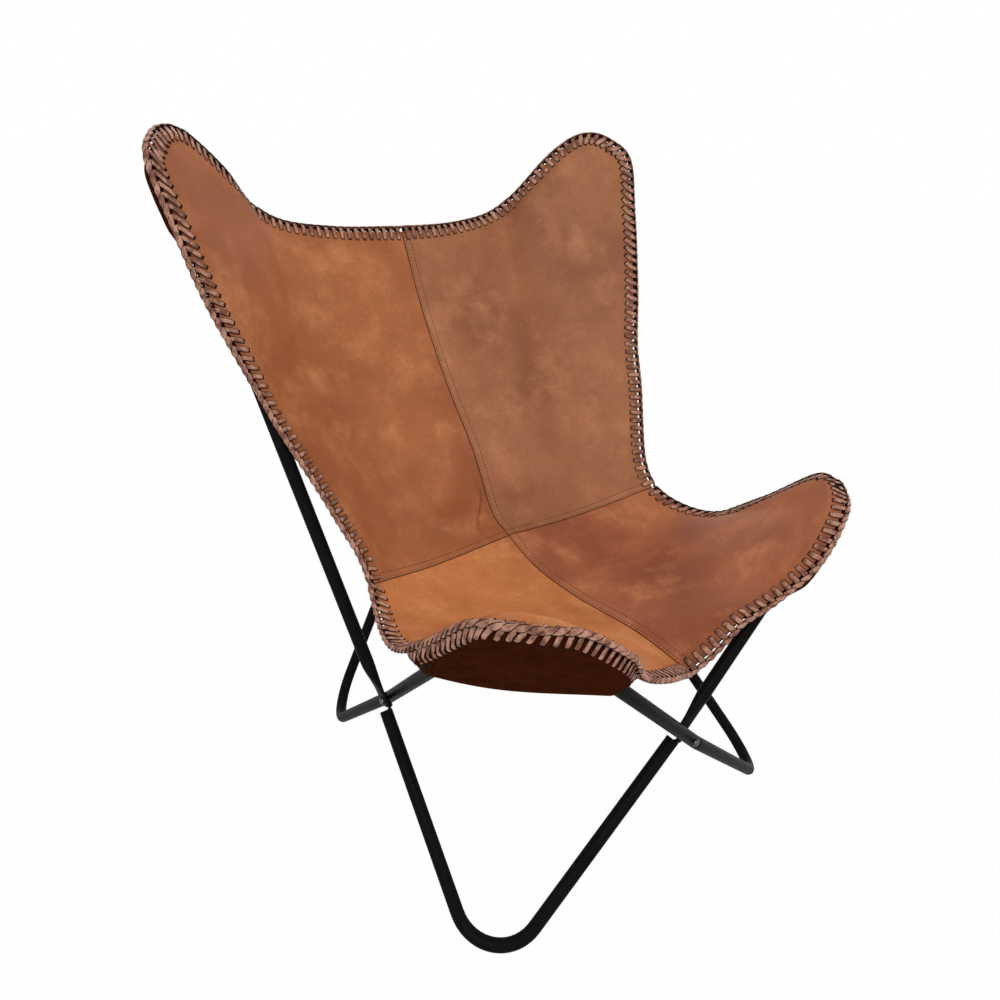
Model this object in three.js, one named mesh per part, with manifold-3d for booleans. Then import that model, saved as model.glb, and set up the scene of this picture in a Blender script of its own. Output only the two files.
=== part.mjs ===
// Butterfly sling chair: bent tube frame in eight V-shaped pieces, bolted where
// the bars cross, with a laced leather sling on its four top bends.
// Millimetres. X is across the chair, the sitter faces -Y, and Z is up from the floor.
import * as THREE from 'three'
import { mergeVertices } from 'three/addons/utils/BufferGeometryUtils.js'
import Module from 'manifold-3d'

const wasm = await Module()
wasm.setup()

// Tubes
const tubeDiameter = 16.5
const tubeWall = 1.5
const floorBendRadius = 54
const wingBendRadius = 28
const fitGap = 0.3
const floorFlatDepth = 0.7

// Where the straight legs of each bent tube would meet, and where the bars cross
const frontFootHalfWidth = 277
const frontFootReach = 271
const rearFootHalfWidth = 206
const rearFootReach = 249
const frontWingHalfWidth = 281
const frontWingReach = 292
const frontWingHeight = 500
const rearWingHalfWidth = 356
const rearWingReach = 296
const rearWingHeight = 918
const sideCrossingHalfWidth = 244
const sideCrossingReach = 12
const sideCrossingHeight = 209
const frontCrossingReach = 295
const frontCrossingHeight = 222
const rearCrossingReach = 278
const rearCrossingHeight = 320

// Pressed and tabbed ends of the first rod
const tongueThickness = 4
const tongueWidth = 21
const tongueOverrun = 8
const taperLength = 50
const taperShares = [0, 0.2, 0.4, 0.6, 0.8, 1]
const tongueSquarenessShare = 0.45
const tabWidth = 9
const tabOverrun = 8
const tabFlatLength = 11
const tabSetback = 17
const tabRoot = 22

// Sockets and spigots of the second rod
const mouthOverrun = 14
const spigotLength = 42
const spigotWall = 1.2
const shoulderLength = 1
const elbowRadius = 30
const elbowReach = 4

// Crossing bolts
const boltDiameter = 6
const boltHeadDiameter = 9.5
const boltHeadHeight = 3
const nutWidth = 10
const nutHeight = 5
const threadClearance = 0.3
const boltTail = 3

// Leather and lacing
const leatherThickness = 3
const pocketThickness = 2.4
const pocketStart = 42
const pocketLength = 175
const pocketMouthSag = 32
const rearPocketInset = 6.6
const frontPocketInset = 10.4
const rearRimReach = 31
const frontRimReach = 20
const rearTipRadius = 55
const frontTipRadius = 40
const rimLift = 2
const drapeMargin = 3.5
const drapeWidth = 70
const foldInset = 10
const pocketFold = 16
const seamGap = 0.6
const lacingDiameter = 9
const lacingGap = 1.5

// Facets
const tubeSides = 10
const bendSteps = 8
const elbowSteps = 2
const boltSides = 12
const headSteps = 3
const panelColumns = 12
const backRows = 16
const seatRows = 12
const pocketColumns = 14
const pocketRows = 6
const lacingSides = 6

const tubeRadius = tubeDiameter / 2
const boreRadius = tubeRadius - tubeWall
const facetShare = Math.cos(Math.PI / tubeSides)
const spigotRadius = boreRadius * facetShare - fitGap
const crossingSpacing = tubeDiameter + fitGap
const drapeHeight = tubeRadius + leatherThickness + drapeMargin
const up = new THREE.Vector3(0, 0, 1)

const steel = new THREE.MeshStandardMaterial({ color: 0x0b0a0a, roughness: 0.42, metalness: 0.4 })
const fastenerSteel = new THREE.MeshStandardMaterial({ color: 0x151414, roughness: 0.38, metalness: 0.7 })
const leather = new THREE.MeshStandardMaterial({ color: 0xad6c42, roughness: 0.6, metalness: 0 })
const suede = new THREE.MeshStandardMaterial({ color: 0x42210f, roughness: 0.9, metalness: 0 })
const lace = new THREE.MeshStandardMaterial({ color: 0x9a6a55, roughness: 0.65, metalness: 0 })

const chair = new THREE.Group()

function addPiece(name, geometry, material) {
  const mesh = new THREE.Mesh(geometry, material)
  mesh.name = name
  chair.add(mesh)
}

// Solids from closed meshes, and back again
function solidOf(geometry) {
  const bare = geometry.clone()
  for (const name of ['normal', 'uv']) {
    bare.deleteAttribute(name)
  }
  const merged = mergeVertices(bare)
  return new wasm.Manifold(new wasm.Mesh({
    numProp: 3,
    vertProperties: new Float32Array(merged.attributes.position.array),
    triVerts: new Uint32Array(merged.index.array),
  }))
}

function geometryOf(solid) {
  const mesh = solid.getMesh()
  const geometry = new THREE.BufferGeometry()
  geometry.setAttribute('position', new THREE.BufferAttribute(mesh.vertProperties, mesh.numProp))
  geometry.setIndex(new THREE.BufferAttribute(mesh.triVerts, 1))
  geometry.computeVertexNormals()
  return geometry
}

function meshOf(points, faces) {
  const geometry = new THREE.BufferGeometry()
  geometry.setFromPoints(points)
  geometry.setIndex(faces)
  geometry.computeVertexNormals()
  return geometry
}

// A body skinned over rings that all have the same number of points. A pipe's rings
// run along the outside and come back along the bore, and a solid's ends are capped.
function skinned(rings, isPipe) {
  const sides = rings[0].length
  const faces = []
  const spans = isPipe ? rings.length : rings.length - 1
  for (let ring = 0; ring < spans; ring += 1) {
    const next = (ring + 1) % rings.length
    for (let side = 0; side < sides; side += 1) {
      const beside = (side + 1) % sides
      const [a, b] = [ring * sides + side, ring * sides + beside]
      const [c, d] = [next * sides + side, next * sides + beside]
      faces.push(a, b, d, a, d, c)
    }
  }
  if (!isPipe) {
    const last = (rings.length - 1) * sides
    for (let side = 1; side < sides - 1; side += 1) {
      faces.push(0, side + 1, side, last, last + side, last + side + 1)
    }
  }
  return meshOf(rings.flat(), faces)
}

// A rounded corner: its arc's centre, its first spoke and heading, and how far it turns
function cornerArc(before, apex, after, radius) {
  const back = before.clone().sub(apex).normalize()
  const onward = after.clone().sub(apex).normalize()
  const half = back.angleTo(onward) / 2
  const inward = back.clone().add(onward).normalize()
  const centre = apex.clone().addScaledVector(inward, radius / Math.sin(half))
  const spoke = apex.clone().addScaledVector(back, radius / Math.tan(half)).sub(centre).normalize()
  return { centre, spoke, heading: back.negate(), inward, turn: Math.PI - 2 * half, radius }
}

function arcStation(arc, angle) {
  const place = arc.centre.clone()
    .addScaledVector(arc.spoke, arc.radius * Math.cos(angle))
    .addScaledVector(arc.heading, arc.radius * Math.sin(angle))
  const heading = arc.heading.clone().multiplyScalar(Math.cos(angle))
    .addScaledVector(arc.spoke, -Math.sin(angle))
  return { place, heading, fromEnd: Infinity }
}

// A bent tube's axis as stations. Each has its place, heading and distance from its end.
function bentRoute(corners, bends, endDistances) {
  const [start, end] = [corners[0], corners[corners.length - 1]]
  const startWay = corners[1].clone().sub(start).normalize()
  const endWay = end.clone().sub(corners[corners.length - 2]).normalize()
  const before = endDistances.map((fromEnd) => ({
    place: start.clone().addScaledVector(startWay, fromEnd), heading: startWay, fromEnd, end: 0,
  }))
  const after = endDistances.map((fromEnd) => ({
    place: end.clone().addScaledVector(endWay, -fromEnd), heading: endWay, fromEnd, end: 1,
  }))
  const turns = bends.flatMap((bend, index) => {
    const arc = cornerArc(corners[index], corners[index + 1], corners[index + 2], bend.radius)
    return Array.from({ length: bend.steps + 1 }, (_, step) => arcStation(arc, arc.turn * step / bend.steps))
  })
  return [...before, ...turns, ...after.reverse()]
}

// Rings carried along stations without twist. A section says how far its oval reaches
// along its flat way and across it, how square it is, and how far it is shifted.
function carriedRings(stations, sides, sectionAt) {
  const first = stations[0].heading
  const facet = 2 * Math.PI / sides
  let away = new THREE.Vector3(first.y, -first.x, 0)
  return stations.map((station) => {
    away = away.clone().addScaledVector(station.heading, -away.dot(station.heading)).normalize()
    const beside = new THREE.Vector3().crossVectors(station.heading, away)
    const section = sectionAt(station)
    const flatWay = section.flatWay ?? away
    const wideWay = new THREE.Vector3().crossVectors(station.heading, flatWay)
    const lead = Math.round(Math.atan2(flatWay.dot(beside), flatWay.dot(away)) / facet)
    const squared = (value) => Math.sign(value) * Math.abs(value) ** (section.squareness ?? 1)
    return Array.from({ length: sides }, (_, side) => {
      const angle = facet * (side - lead)
      return station.place.clone()
        .addScaledVector(flatWay, squared(Math.cos(angle)) * section.thick + (section.shift ?? 0))
        .addScaledVector(wideWay, squared(Math.sin(angle)) * section.wide)
    })
  })
}

const round = (radius) => ({ thick: radius, wide: radius })

function pipe(stations, outerAt, innerAt) {
  const outer = carriedRings(stations, tubeSides, outerAt)
  const inner = carriedRings(stations, tubeSides, innerAt)
  return solidOf(skinned([...outer, ...inner.reverse()], true))
}

// The frame's corners and crossings. Right is the sitter's right, at -X.
const sideSigns = { right: -1, left: 1 }

function frameCorner(side, halfWidth, reach, height) {
  return new THREE.Vector3(sideSigns[side] * halfWidth, reach, height)
}

const wings = {}
for (const side of Object.keys(sideSigns)) {
  wings[`rear_${side}`] = frameCorner(side, rearWingHalfWidth, rearWingReach, rearWingHeight)
  wings[`front_${side}`] = frameCorner(side, frontWingHalfWidth, -frontWingReach, frontWingHeight)
}

// Each crossing joins an upper leg of each rod. The first rod runs outside the second
// at the chair's sides, and inside it at the front and rear.
const crossings = {
  right: {
    middle: frameCorner('right', sideCrossingHalfWidth, -sideCrossingReach, sideCrossingHeight),
    first: 'rear_right', second: 'front_right', outward: new THREE.Vector3(-1, 0, 0), firstIsOutside: true,
  },
  left: {
    middle: frameCorner('left', sideCrossingHalfWidth, -sideCrossingReach, sideCrossingHeight),
    first: 'front_left', second: 'rear_left', outward: new THREE.Vector3(1, 0, 0), firstIsOutside: true,
  },
  front: {
    middle: new THREE.Vector3(0, -frontCrossingReach, frontCrossingHeight),
    first: 'front_left', second: 'front_right', outward: new THREE.Vector3(0, -1, 0), firstIsOutside: false,
  },
  rear: {
    middle: new THREE.Vector3(0, rearCrossingReach, rearCrossingHeight),
    first: 'rear_right', second: 'rear_left', outward: new THREE.Vector3(0, 1, 0), firstIsOutside: false,
  },
}

// The stack way points from the first rod's axis to the second's, square to both upper legs
const settleRounds = 8
for (const crossing of Object.values(crossings)) {
  crossing.firstAxis = crossing.middle.clone()
  crossing.secondAxis = crossing.middle.clone()
  for (let turn = 0; turn < settleRounds; turn += 1) {
    const firstLeg = wings[crossing.first].clone().sub(crossing.firstAxis)
    const secondLeg = wings[crossing.second].clone().sub(crossing.secondAxis)
    const stackWay = firstLeg.cross(secondLeg).normalize()
    const isOutward = stackWay.dot(crossing.outward) > 0
    crossing.stackWay = isOutward === crossing.firstIsOutside ? stackWay.negate() : stackWay
    crossing.firstAxis = crossing.middle.clone().addScaledVector(crossing.stackWay, -crossingSpacing / 2)
    crossing.secondAxis = crossing.middle.clone().addScaledVector(crossing.stackWay, crossingSpacing / 2)
  }
}

function wayFrom(apex, place) {
  return place.clone().sub(apex).normalize()
}

// Upper V of the first rod: its ends are pressed flat into tongues that lap on the second rod
function tonguedV(apex, ends) {
  const tips = ends.map((end) => end.firstAxis.clone()
    .addScaledVector(wayFrom(apex, end.firstAxis), tongueOverrun))
  const flatLength = 2 * tongueOverrun
  const sectionAt = (wall) => (station) => {
    const share = THREE.MathUtils.smoothstep(station.fromEnd, flatLength, flatLength + taperLength)
    if (share === 1) {
      return round(tubeRadius - wall)
    }
    return {
      thick: THREE.MathUtils.lerp(tongueThickness / 2, tubeRadius, share) - wall,
      wide: THREE.MathUtils.lerp(tongueWidth / 2, tubeRadius, share) - wall,
      squareness: THREE.MathUtils.lerp(tongueSquarenessShare, 1, share),
      shift: THREE.MathUtils.lerp(tongueThickness / 2, 0, share),
      flatWay: ends[station.end].stackWay,
    }
  }
  const distances = [0, ...taperShares.map((share) => flatLength + share * taperLength)]
  const bend = { radius: wingBendRadius, steps: bendSteps }
  return pipe(bentRoute([tips[0], apex, tips[1]], [bend], distances), sectionAt(0), sectionAt(tubeWall))
}

function pastCrossing(end, apex, distance) {
  return end.secondAxis.clone().addScaledVector(wayFrom(apex, end.secondAxis), distance)
}

// Upper V of the second rod: its open ends run past the crossings as sockets
function socketV(apex, ends) {
  const tips = ends.map((end) => pastCrossing(end, apex, mouthOverrun))
  const route = bentRoute([tips[0], apex, tips[1]], [{ radius: wingBendRadius, steps: bendSteps }], [0])
  return pipe(route, () => round(tubeRadius), () => round(boreRadius))
}

// A floor V's apex, let down until its bend rests on the floor with a small flat
function standing(halfWidthPlace, legEnds) {
  const apex = halfWidthPlace.clone()
  for (let turn = 0; turn < settleRounds; turn += 1) {
    const arc = cornerArc(legEnds[0], apex, legEnds[1], floorBendRadius)
    const lowest = arc.centre.z - floorBendRadius * Math.hypot(arc.spoke.z, arc.heading.z)
    apex.z += tubeRadius - floorFlatDepth - lowest
  }
  return apex
}

// Floor V of the second rod: elbows near the crossings turn its spigots into the sockets above
function spigotV(footPlace, ends) {
  const socketEnd = mouthOverrun + fitGap
  const elbows = ends.map((end) => pastCrossing(end, wings[end.second], socketEnd + elbowReach))
  const tips = ends.map((end) => pastCrossing(end, wings[end.second], socketEnd - spigotLength))
  const apex = standing(footPlace, elbows)
  const elbow = { radius: elbowRadius, steps: elbowSteps }
  const bends = [elbow, { radius: floorBendRadius, steps: bendSteps }, elbow]
  const route = bentRoute([tips[0], elbows[0], apex, elbows[1], tips[1]], bends,
    [0, spigotLength, spigotLength + shoulderLength])
  const isSpigot = (station) => station.fromEnd <= spigotLength
  return pipe(route,
    (station) => round(isSpigot(station) ? spigotRadius : tubeRadius),
    (station) => round(isSpigot(station) ? spigotRadius - spigotWall : boreRadius))
}

// Floor V of the first rod: its ends are cut square, with a joggled tab that laps at the crossing
function tabbedV(footPlace, ends) {
  const apex = standing(footPlace, ends.map((end) => end.firstAxis))
  const ways = ends.map((end) => wayFrom(apex, end.firstAxis))
  const tips = ends.map((end, index) => end.firstAxis.clone().addScaledVector(ways[index], -tabSetback))
  const route = bentRoute([tips[0], apex, tips[1]], [{ radius: floorBendRadius, steps: bendSteps }], [0])
  const tube = pipe(route, () => round(tubeRadius), () => round(boreRadius))
  return ends.reduce((body, end, index) => body.add(tab(end, ways[index])), tube)
}

// A tab lies flat between the tongue and the other rod, and steps down into its own tube
function tab(end, way) {
  const low = tongueThickness + fitGap
  const high = crossingSpacing - tubeRadius - fitGap
  const thickness = high - low
  const flatLevel = (low + high) / 2
  const rootLevel = boreRadius - fitGap - thickness / 2
  const level = way.clone().addScaledVector(end.stackWay, -way.dot(end.stackWay)).normalize()
  const beside = new THREE.Vector3().crossVectors(way, end.stackWay).normalize()
  const placeAt = (direction, distance, height) => end.firstAxis.clone()
    .addScaledVector(direction, distance)
    .addScaledVector(end.stackWay, height)
  const places = [
    placeAt(way, -tabSetback - tabRoot, rootLevel),
    placeAt(way, -tabSetback, rootLevel),
    placeAt(level, -tabFlatLength, flatLevel),
    placeAt(level, tabOverrun, flatLevel),
  ]
  const rings = places.map((place) => [[1, -1], [1, 1], [-1, 1], [-1, -1]].map(([rise, side]) => place.clone()
    .addScaledVector(end.stackWay, rise * thickness / 2)
    .addScaledVector(beside, side * tabWidth / 2)))
  return solidOf(skinned(rings, false))
}

// Bolts through the crossings, with the head on the outer rod and the nut inside
function laidAlong(geometry, place, way) {
  geometry.applyQuaternion(new THREE.Quaternion().setFromUnitVectors(up, way))
  geometry.translate(place.x, place.y, place.z)
  return geometry
}

const gripLength = crossingSpacing + tubeRadius + 2 * fitGap

function boltSeat(crossing) {
  const [level, way] = crossing.firstIsOutside
    ? [-fitGap, crossing.stackWay]
    : [gripLength - fitGap, crossing.stackWay.clone().negate()]
  return { place: crossing.firstAxis.clone().addScaledVector(crossing.stackWay, level), way }
}

function boltGeometry() {
  const dome = Array.from({ length: headSteps + 1 }, (_, step) => {
    const angle = (step / headSteps) * Math.PI / 2
    return new THREE.Vector2(Math.sin(angle) * boltHeadDiameter / 2, -Math.cos(angle) * boltHeadHeight)
  })
  const end = gripLength + nutHeight + boltTail
  return new THREE.LatheGeometry([
    ...dome,
    new THREE.Vector2(boltDiameter / 2, 0),
    new THREE.Vector2(boltDiameter / 2, end),
    new THREE.Vector2(0, end),
  ], boltSides).rotateX(Math.PI / 2)
}

function nutGeometry() {
  const hexagon = Array.from({ length: 6 }, (_, side) => {
    const angle = side * Math.PI / 3
    const reach = nutWidth / Math.sqrt(3)
    return new THREE.Vector2(Math.cos(angle) * reach, Math.sin(angle) * reach)
  })
  const shape = new THREE.Shape(hexagon)
  const hole = new THREE.Path().absarc(0, 0, boltDiameter / 2 + threadClearance, 0, 2 * Math.PI)
  shape.holes.push(hole)
  return new THREE.ExtrudeGeometry(shape, { depth: nutHeight, bevelEnabled: false, curveSegments: boltSides })
}

const boltHoles = Object.values(crossings).map((crossing) => {
  const radius = boltDiameter / 2 + threadClearance
  const hole = new THREE.CylinderGeometry(radius, radius, 2 * (gripLength + nutHeight), boltSides)
  return solidOf(laidAlong(hole.rotateX(Math.PI / 2), crossing.middle, crossing.stackWay))
})

function addTube(name, solid) {
  const drilled = boltHoles.reduce((body, hole) => body.subtract(hole), solid)
  addPiece(name, geometryOf(drilled.trimByPlane(up.toArray(), 0)), steel)
}

addTube('upper_v_rear_right', tonguedV(wings.rear_right, [crossings.right, crossings.rear]))
addTube('upper_v_front_left', tonguedV(wings.front_left, [crossings.left, crossings.front]))
addTube('upper_v_rear_left', socketV(wings.rear_left, [crossings.left, crossings.rear]))
addTube('upper_v_front_right', socketV(wings.front_right, [crossings.right, crossings.front]))
addTube('floor_v_front_right', tabbedV(
  frameCorner('right', frontFootHalfWidth, -frontFootReach, 0), [crossings.right, crossings.front]))
addTube('floor_v_rear_left', tabbedV(
  frameCorner('left', rearFootHalfWidth, rearFootReach, 0), [crossings.left, crossings.rear]))
addTube('floor_v_front_left', spigotV(
  frameCorner('left', frontFootHalfWidth, -frontFootReach, 0), [crossings.left, crossings.front]))
addTube('floor_v_rear_right', spigotV(
  frameCorner('right', rearFootHalfWidth, rearFootReach, 0), [crossings.right, crossings.rear]))

for (const [name, crossing] of Object.entries(crossings)) {
  const seat = boltSeat(crossing)
  const nutPlace = seat.place.clone().addScaledVector(seat.way, gripLength)
  addPiece(`crossing_bolt_${name}`, laidAlong(boltGeometry(), seat.place, seat.way), fastenerSteel)
  addPiece(`crossing_nut_${name}`, laidAlong(nutGeometry(), nutPlace, seat.way), fastenerSteel)
}

// The sling's left half is shaped here, and its right half is the mirror image.
// A wing is the leather round one top bend: its tip and the way that faces the sitter.
function wingOf(apex, crossingMiddle, rimReach) {
  const arc = cornerArc(crossings.left.middle, apex, crossingMiddle, wingBendRadius)
  const sitterWay = new THREE.Vector3().crossVectors(arc.spoke, arc.heading)
  sitterWay.multiplyScalar(Math.sign(sitterWay.z))
  const bendTip = arc.centre.clone().addScaledVector(arc.inward, -wingBendRadius)
  const tip = bendTip.clone().addScaledVector(arc.inward, -rimReach).addScaledVector(sitterWay, rimLift)
  const crossingMiddles = [crossings.left.middle, crossingMiddle]
  return { apex, crossingMiddles, sitterWay, bendTip, tip, inward: arc.inward, halfAngle: (Math.PI - arc.turn) / 2 }
}

const rearWing = wingOf(wings.rear_left, crossings.rear.middle, rearRimReach)
const frontWing = wingOf(wings.front_left, crossings.front.middle, frontRimReach)
const slingRise = rearWing.tip.z - frontCrossingHeight
const sideSag = (rearWing.tip.z + frontWing.tip.z) / 2 - sideCrossingHeight

// Side edge from the rear tip to the front tip: how far along the line between them,
// how far below it as a share of the sag, and how far inside it as a share of the half width
const sideEdgeShares = [
  [0.095, 0.002, -0.105], [0.15, 0.115, -0.09], [0.222, 0.271, -0.033], [0.3, 0.431, 0.05],
  [0.39, 0.56, 0.132], [0.5, 0.645, 0.145], [0.65, 0.565, 0.04], [0.8, 0.34, -0.023],
  [0.95, 0.065, -0.045],
]
const sideSeamRow = 5

// Centre line from the top to the front: how far along from the rear tip to the front
// one, and how high as a share of the rise from the front crossing to the rear tip
const centreLineShares = [
  [-0.072, 0.793], [0.02, 0.635], [0.14, 0.476], [0.257, 0.349], [0.351, 0.218], [0.415, 0.19],
  [0.518, 0.155], [0.665, 0.143], [0.855, 0.149], [0.995, 0.135],
]
const centreSeamRow = 5

// Top and front edges between the centre line and a tip: across as a share of the tip's
// half width, reach as a share of the tip's, and height as a share of the rise
const topEdgeShares = [[0.319, 1.175, 0.798], [0.558, 1.195, 0.82], [0.712, 1.157, 0.873], [0.852, 1.095, 0.94]]
const frontEdgeShares = [[0.22, 1.05, 0.192], [0.45, 1.08, 0.243], [0.63, 1.15, 0.324], [0.85, 1.115, 0.395]]

// The cross seam's middle: how far along it lies, how far back of the straight line and below it
const crossSeamShares = { along: 0.53, back: 0.05, drop: 0.032 }

const sidePlaces = sideEdgeShares.map(([along, drop, inset]) => {
  const place = rearWing.tip.clone().lerp(frontWing.tip, along)
  place.x -= inset * rearWing.tip.x
  place.z -= drop * sideSag
  return place
})

const centreLine = new THREE.CatmullRomCurve3(centreLineShares.map(([along, rise]) => new THREE.Vector3(
  0, THREE.MathUtils.lerp(rearWing.tip.y, frontWing.tip.y, along), frontCrossingHeight + rise * slingRise)))

function acrossPlaces(shares, tip) {
  return shares.map(([across, reach, rise]) => new THREE.Vector3(
    across * tip.x, reach * tip.y, frontCrossingHeight + rise * slingRise))
}

// A round corner in place of a tip: its crown, and two places towards each of its edges
function roundedTip(tip, sidePlace, acrossPlace, radius) {
  const [sideWay, acrossWay] = [wayFrom(tip, sidePlace), wayFrom(tip, acrossPlace)]
  const inward = sideWay.clone().add(acrossWay).normalize()
  const lateral = sideWay.clone().sub(acrossWay).normalize()
  const half = sideWay.angleTo(acrossWay) / 2
  const centre = tip.clone().addScaledVector(inward, radius / Math.sin(half))
  const placeAt = (share) => {
    const angle = share * (Math.PI / 2 - half)
    return centre.clone()
      .addScaledVector(lateral, radius * Math.sin(angle))
      .addScaledVector(inward, -radius * Math.cos(angle))
  }
  return { crown: placeAt(0), toSide: [placeAt(0.5), placeAt(1)], toAcross: [placeAt(-0.5), placeAt(-1)] }
}

const topPlaces = acrossPlaces(topEdgeShares, rearWing.tip)
const frontPlaces = acrossPlaces(frontEdgeShares, frontWing.tip)
const rearTip = roundedTip(rearWing.tip, sidePlaces[0], topPlaces.at(-1), rearTipRadius)
const frontTip = roundedTip(frontWing.tip, sidePlaces.at(-1), frontPlaces.at(-1), frontTipRadius)
const sideEdge = new THREE.CatmullRomCurve3([
  rearTip.crown, ...rearTip.toSide, ...sidePlaces, ...frontTip.toSide.toReversed(), frontTip.crown,
])
const topEdge = new THREE.CatmullRomCurve3([
  centreLine.getPoint(0), ...topPlaces, ...rearTip.toAcross.toReversed(), rearTip.crown,
])
const frontEdge = new THREE.CatmullRomCurve3([
  centreLine.getPoint(1), ...frontPlaces, ...frontTip.toAcross.toReversed(), frontTip.crown,
])

// How far along a curve one of its own points lies, as a share of its length
function lengthShareAt(curve, row) {
  const rowSteps = 40
  const lengths = curve.getLengths((curve.points.length - 1) * rowSteps)
  return lengths[row * rowSteps] / lengths[lengths.length - 1]
}

const between = (curve, from, to) => (share) => curve.getPointAt(THREE.MathUtils.lerp(from, to, share))

const crownRows = 1 + rearTip.toSide.length
const sideSeamShare = lengthShareAt(sideEdge, crownRows + sideSeamRow)
const centreSeamShare = lengthShareAt(centreLine, centreSeamRow)
const centreSeam = centreLine.getPointAt(centreSeamShare)
const sideSeam = sideEdge.getPointAt(sideSeamShare)
const crossSeamMiddle = centreSeam.clone().lerp(sideSeam, crossSeamShares.along)
crossSeamMiddle.y += crossSeamShares.back * rearWing.tip.y
crossSeamMiddle.z -= crossSeamShares.drop * sideSag
const crossSeam = new THREE.CatmullRomCurve3([centreSeam, crossSeamMiddle, sideSeam])

// A surface between four edges. Across runs from the centre line to the side edge.
function patchPoint(low, high, centre, side, across, along) {
  const point = new THREE.Vector3()
    .addScaledVector(low(across), 1 - along)
    .addScaledVector(high(across), along)
    .addScaledVector(centre(along), 1 - across)
    .addScaledVector(side(along), across)
  return point
    .addScaledVector(low(0), -(1 - across) * (1 - along))
    .addScaledVector(low(1), -across * (1 - along))
    .addScaledVector(high(0), -(1 - across) * along)
    .addScaledVector(high(1), -across * along)
}

const seatSides = [between(centreLine, 1, centreSeamShare), between(sideEdge, 1, sideSeamShare)]
const backSides = [between(centreLine, centreSeamShare, 0), between(sideEdge, sideSeamShare, 0)]
const seam = between(crossSeam, 0, 1)

function heightOver(wing, point) {
  return point.clone().sub(wing.bendTip).dot(wing.sitterWay)
}

// How far leather is held off the plane of a wing's tube. It stays held between the
// legs, and falls to nothing beside them.
function drapeAt(wing, point) {
  const flat = point.clone().addScaledVector(wing.sitterWay, -heightOver(wing, point))
  if (flat.clone().sub(wing.apex).angleTo(wing.inward) < wing.halfAngle) {
    return drapeHeight
  }
  const distances = wing.crossingMiddles.map((middle) => (
    new THREE.Line3(wing.apex, middle).closestPointToPoint(flat, true, new THREE.Vector3()).distanceTo(flat)))
  return drapeHeight * (1 - THREE.MathUtils.smoothstep(Math.min(...distances), drapeWidth / 2, drapeWidth))
}

function overTubes(point) {
  return [rearWing, frontWing].reduce((held, wing) => {
    const hold = drapeAt(wing, held)
    const shortfall = hold > 0 ? Math.max(hold - heightOver(wing, held), 0) : 0
    return held.clone().addScaledVector(wing.sitterWay, shortfall)
  }, point)
}

const folded = (rim, inner) => rim.clone().add(inner.clone().sub(rim).setLength(foldInset))

// Rows from the front edge to the top edge, each from the centre line to the side edge.
// A row and a column lie close inside the free edges, where the leather folds over the tubes.
function halfSurface() {
  const rows = []
  for (let row = 0; row <= seatRows + backRows; row += 1) {
    const isSeat = row < seatRows
    const along = isSeat ? row / seatRows : (row - seatRows) / backRows
    const edges = isSeat
      ? [between(frontEdge, 0, 1), seam, ...seatSides]
      : [seam, between(topEdge, 0, 1), ...backSides]
    const points = Array.from({ length: panelColumns + 1 }, (_, column) => (
      patchPoint(...edges, column / panelColumns, along)))
    points.splice(panelColumns, 0, folded(points[panelColumns], points[panelColumns - 1]))
    rows.push(points)
  }
  rows.splice(1, 0, rows[0].map((rim, column) => folded(rim, rows[1][column])))
  rows.splice(-1, 0, rows.at(-1).map((rim, column) => folded(rim, rows.at(-2)[column])))
  return rows.map((points, row) => points.map((point, column) => {
    const isRim = row === 0 || row === rows.length - 1 || column === lastColumn
    return isRim ? point : overTubes(point)
  }))
}

function gridFaces(rowCount, columnCount) {
  const faces = []
  for (let row = 0; row < rowCount - 1; row += 1) {
    for (let column = 0; column < columnCount - 1; column += 1) {
      const corner = row * columnCount + column
      const above = corner + columnCount
      faces.push(corner, corner + 1, above + 1, corner, above + 1, above)
    }
  }
  return faces
}

// A sheet's rows moved along its own normals. The centre column stays in the middle plane.
function shiftedRows(rows, distance) {
  const columnCount = rows[0].length
  const normals = meshOf(rows.flat(), gridFaces(rows.length, columnCount)).attributes.normal
  return rows.map((points, row) => points.map((point, column) => {
    const normal = new THREE.Vector3().fromBufferAttribute(normals, row * columnCount + column)
    if (point.x === 0) {
      normal.setX(0).normalize()
    }
    return point.clone().addScaledVector(normal, distance)
  }))
}

// A closed body between two sheets with the same rows and columns
function slab(upper, under) {
  const [rowCount, columnCount] = [upper.length, upper[0].length]
  const offset = rowCount * columnCount
  const top = gridFaces(rowCount, columnCount)
  const faces = [...top]
  for (let face = 0; face < top.length; face += 3) {
    faces.push(top[face] + offset, top[face + 2] + offset, top[face + 1] + offset)
  }
  const rim = []
  for (let column = 0; column < columnCount - 1; column += 1) {
    rim.push(column)
  }
  for (let row = 0; row < rowCount - 1; row += 1) {
    rim.push(row * columnCount + columnCount - 1)
  }
  for (let column = columnCount - 1; column > 0; column -= 1) {
    rim.push((rowCount - 1) * columnCount + column)
  }
  for (let row = rowCount - 1; row > 0; row -= 1) {
    rim.push(row * columnCount)
  }
  rim.forEach((here, index) => {
    const next = rim[(index + 1) % rim.length]
    faces.push(here, here + offset, next + offset, here, next + offset, next)
  })
  return meshOf([...upper.flat(), ...under.flat()], faces)
}

const mirrored = (rows) => rows.map((points) => points.map((point) => (
  new THREE.Vector3(-point.x, point.y, point.z))).reverse())

function addBothSides(name, upper, under, material) {
  addPiece(`${name}_left`, slab(upper, under), material)
  addPiece(`${name}_right`, slab(mirrored(upper), mirrored(under)), material)
}

const lastColumn = panelColumns + 1
const seamRow = seatRows + 1
const lastRow = seatRows + backRows + 2
const upperRows = halfSurface()
const underRows = shiftedRows(upperRows, -leatherThickness)

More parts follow.
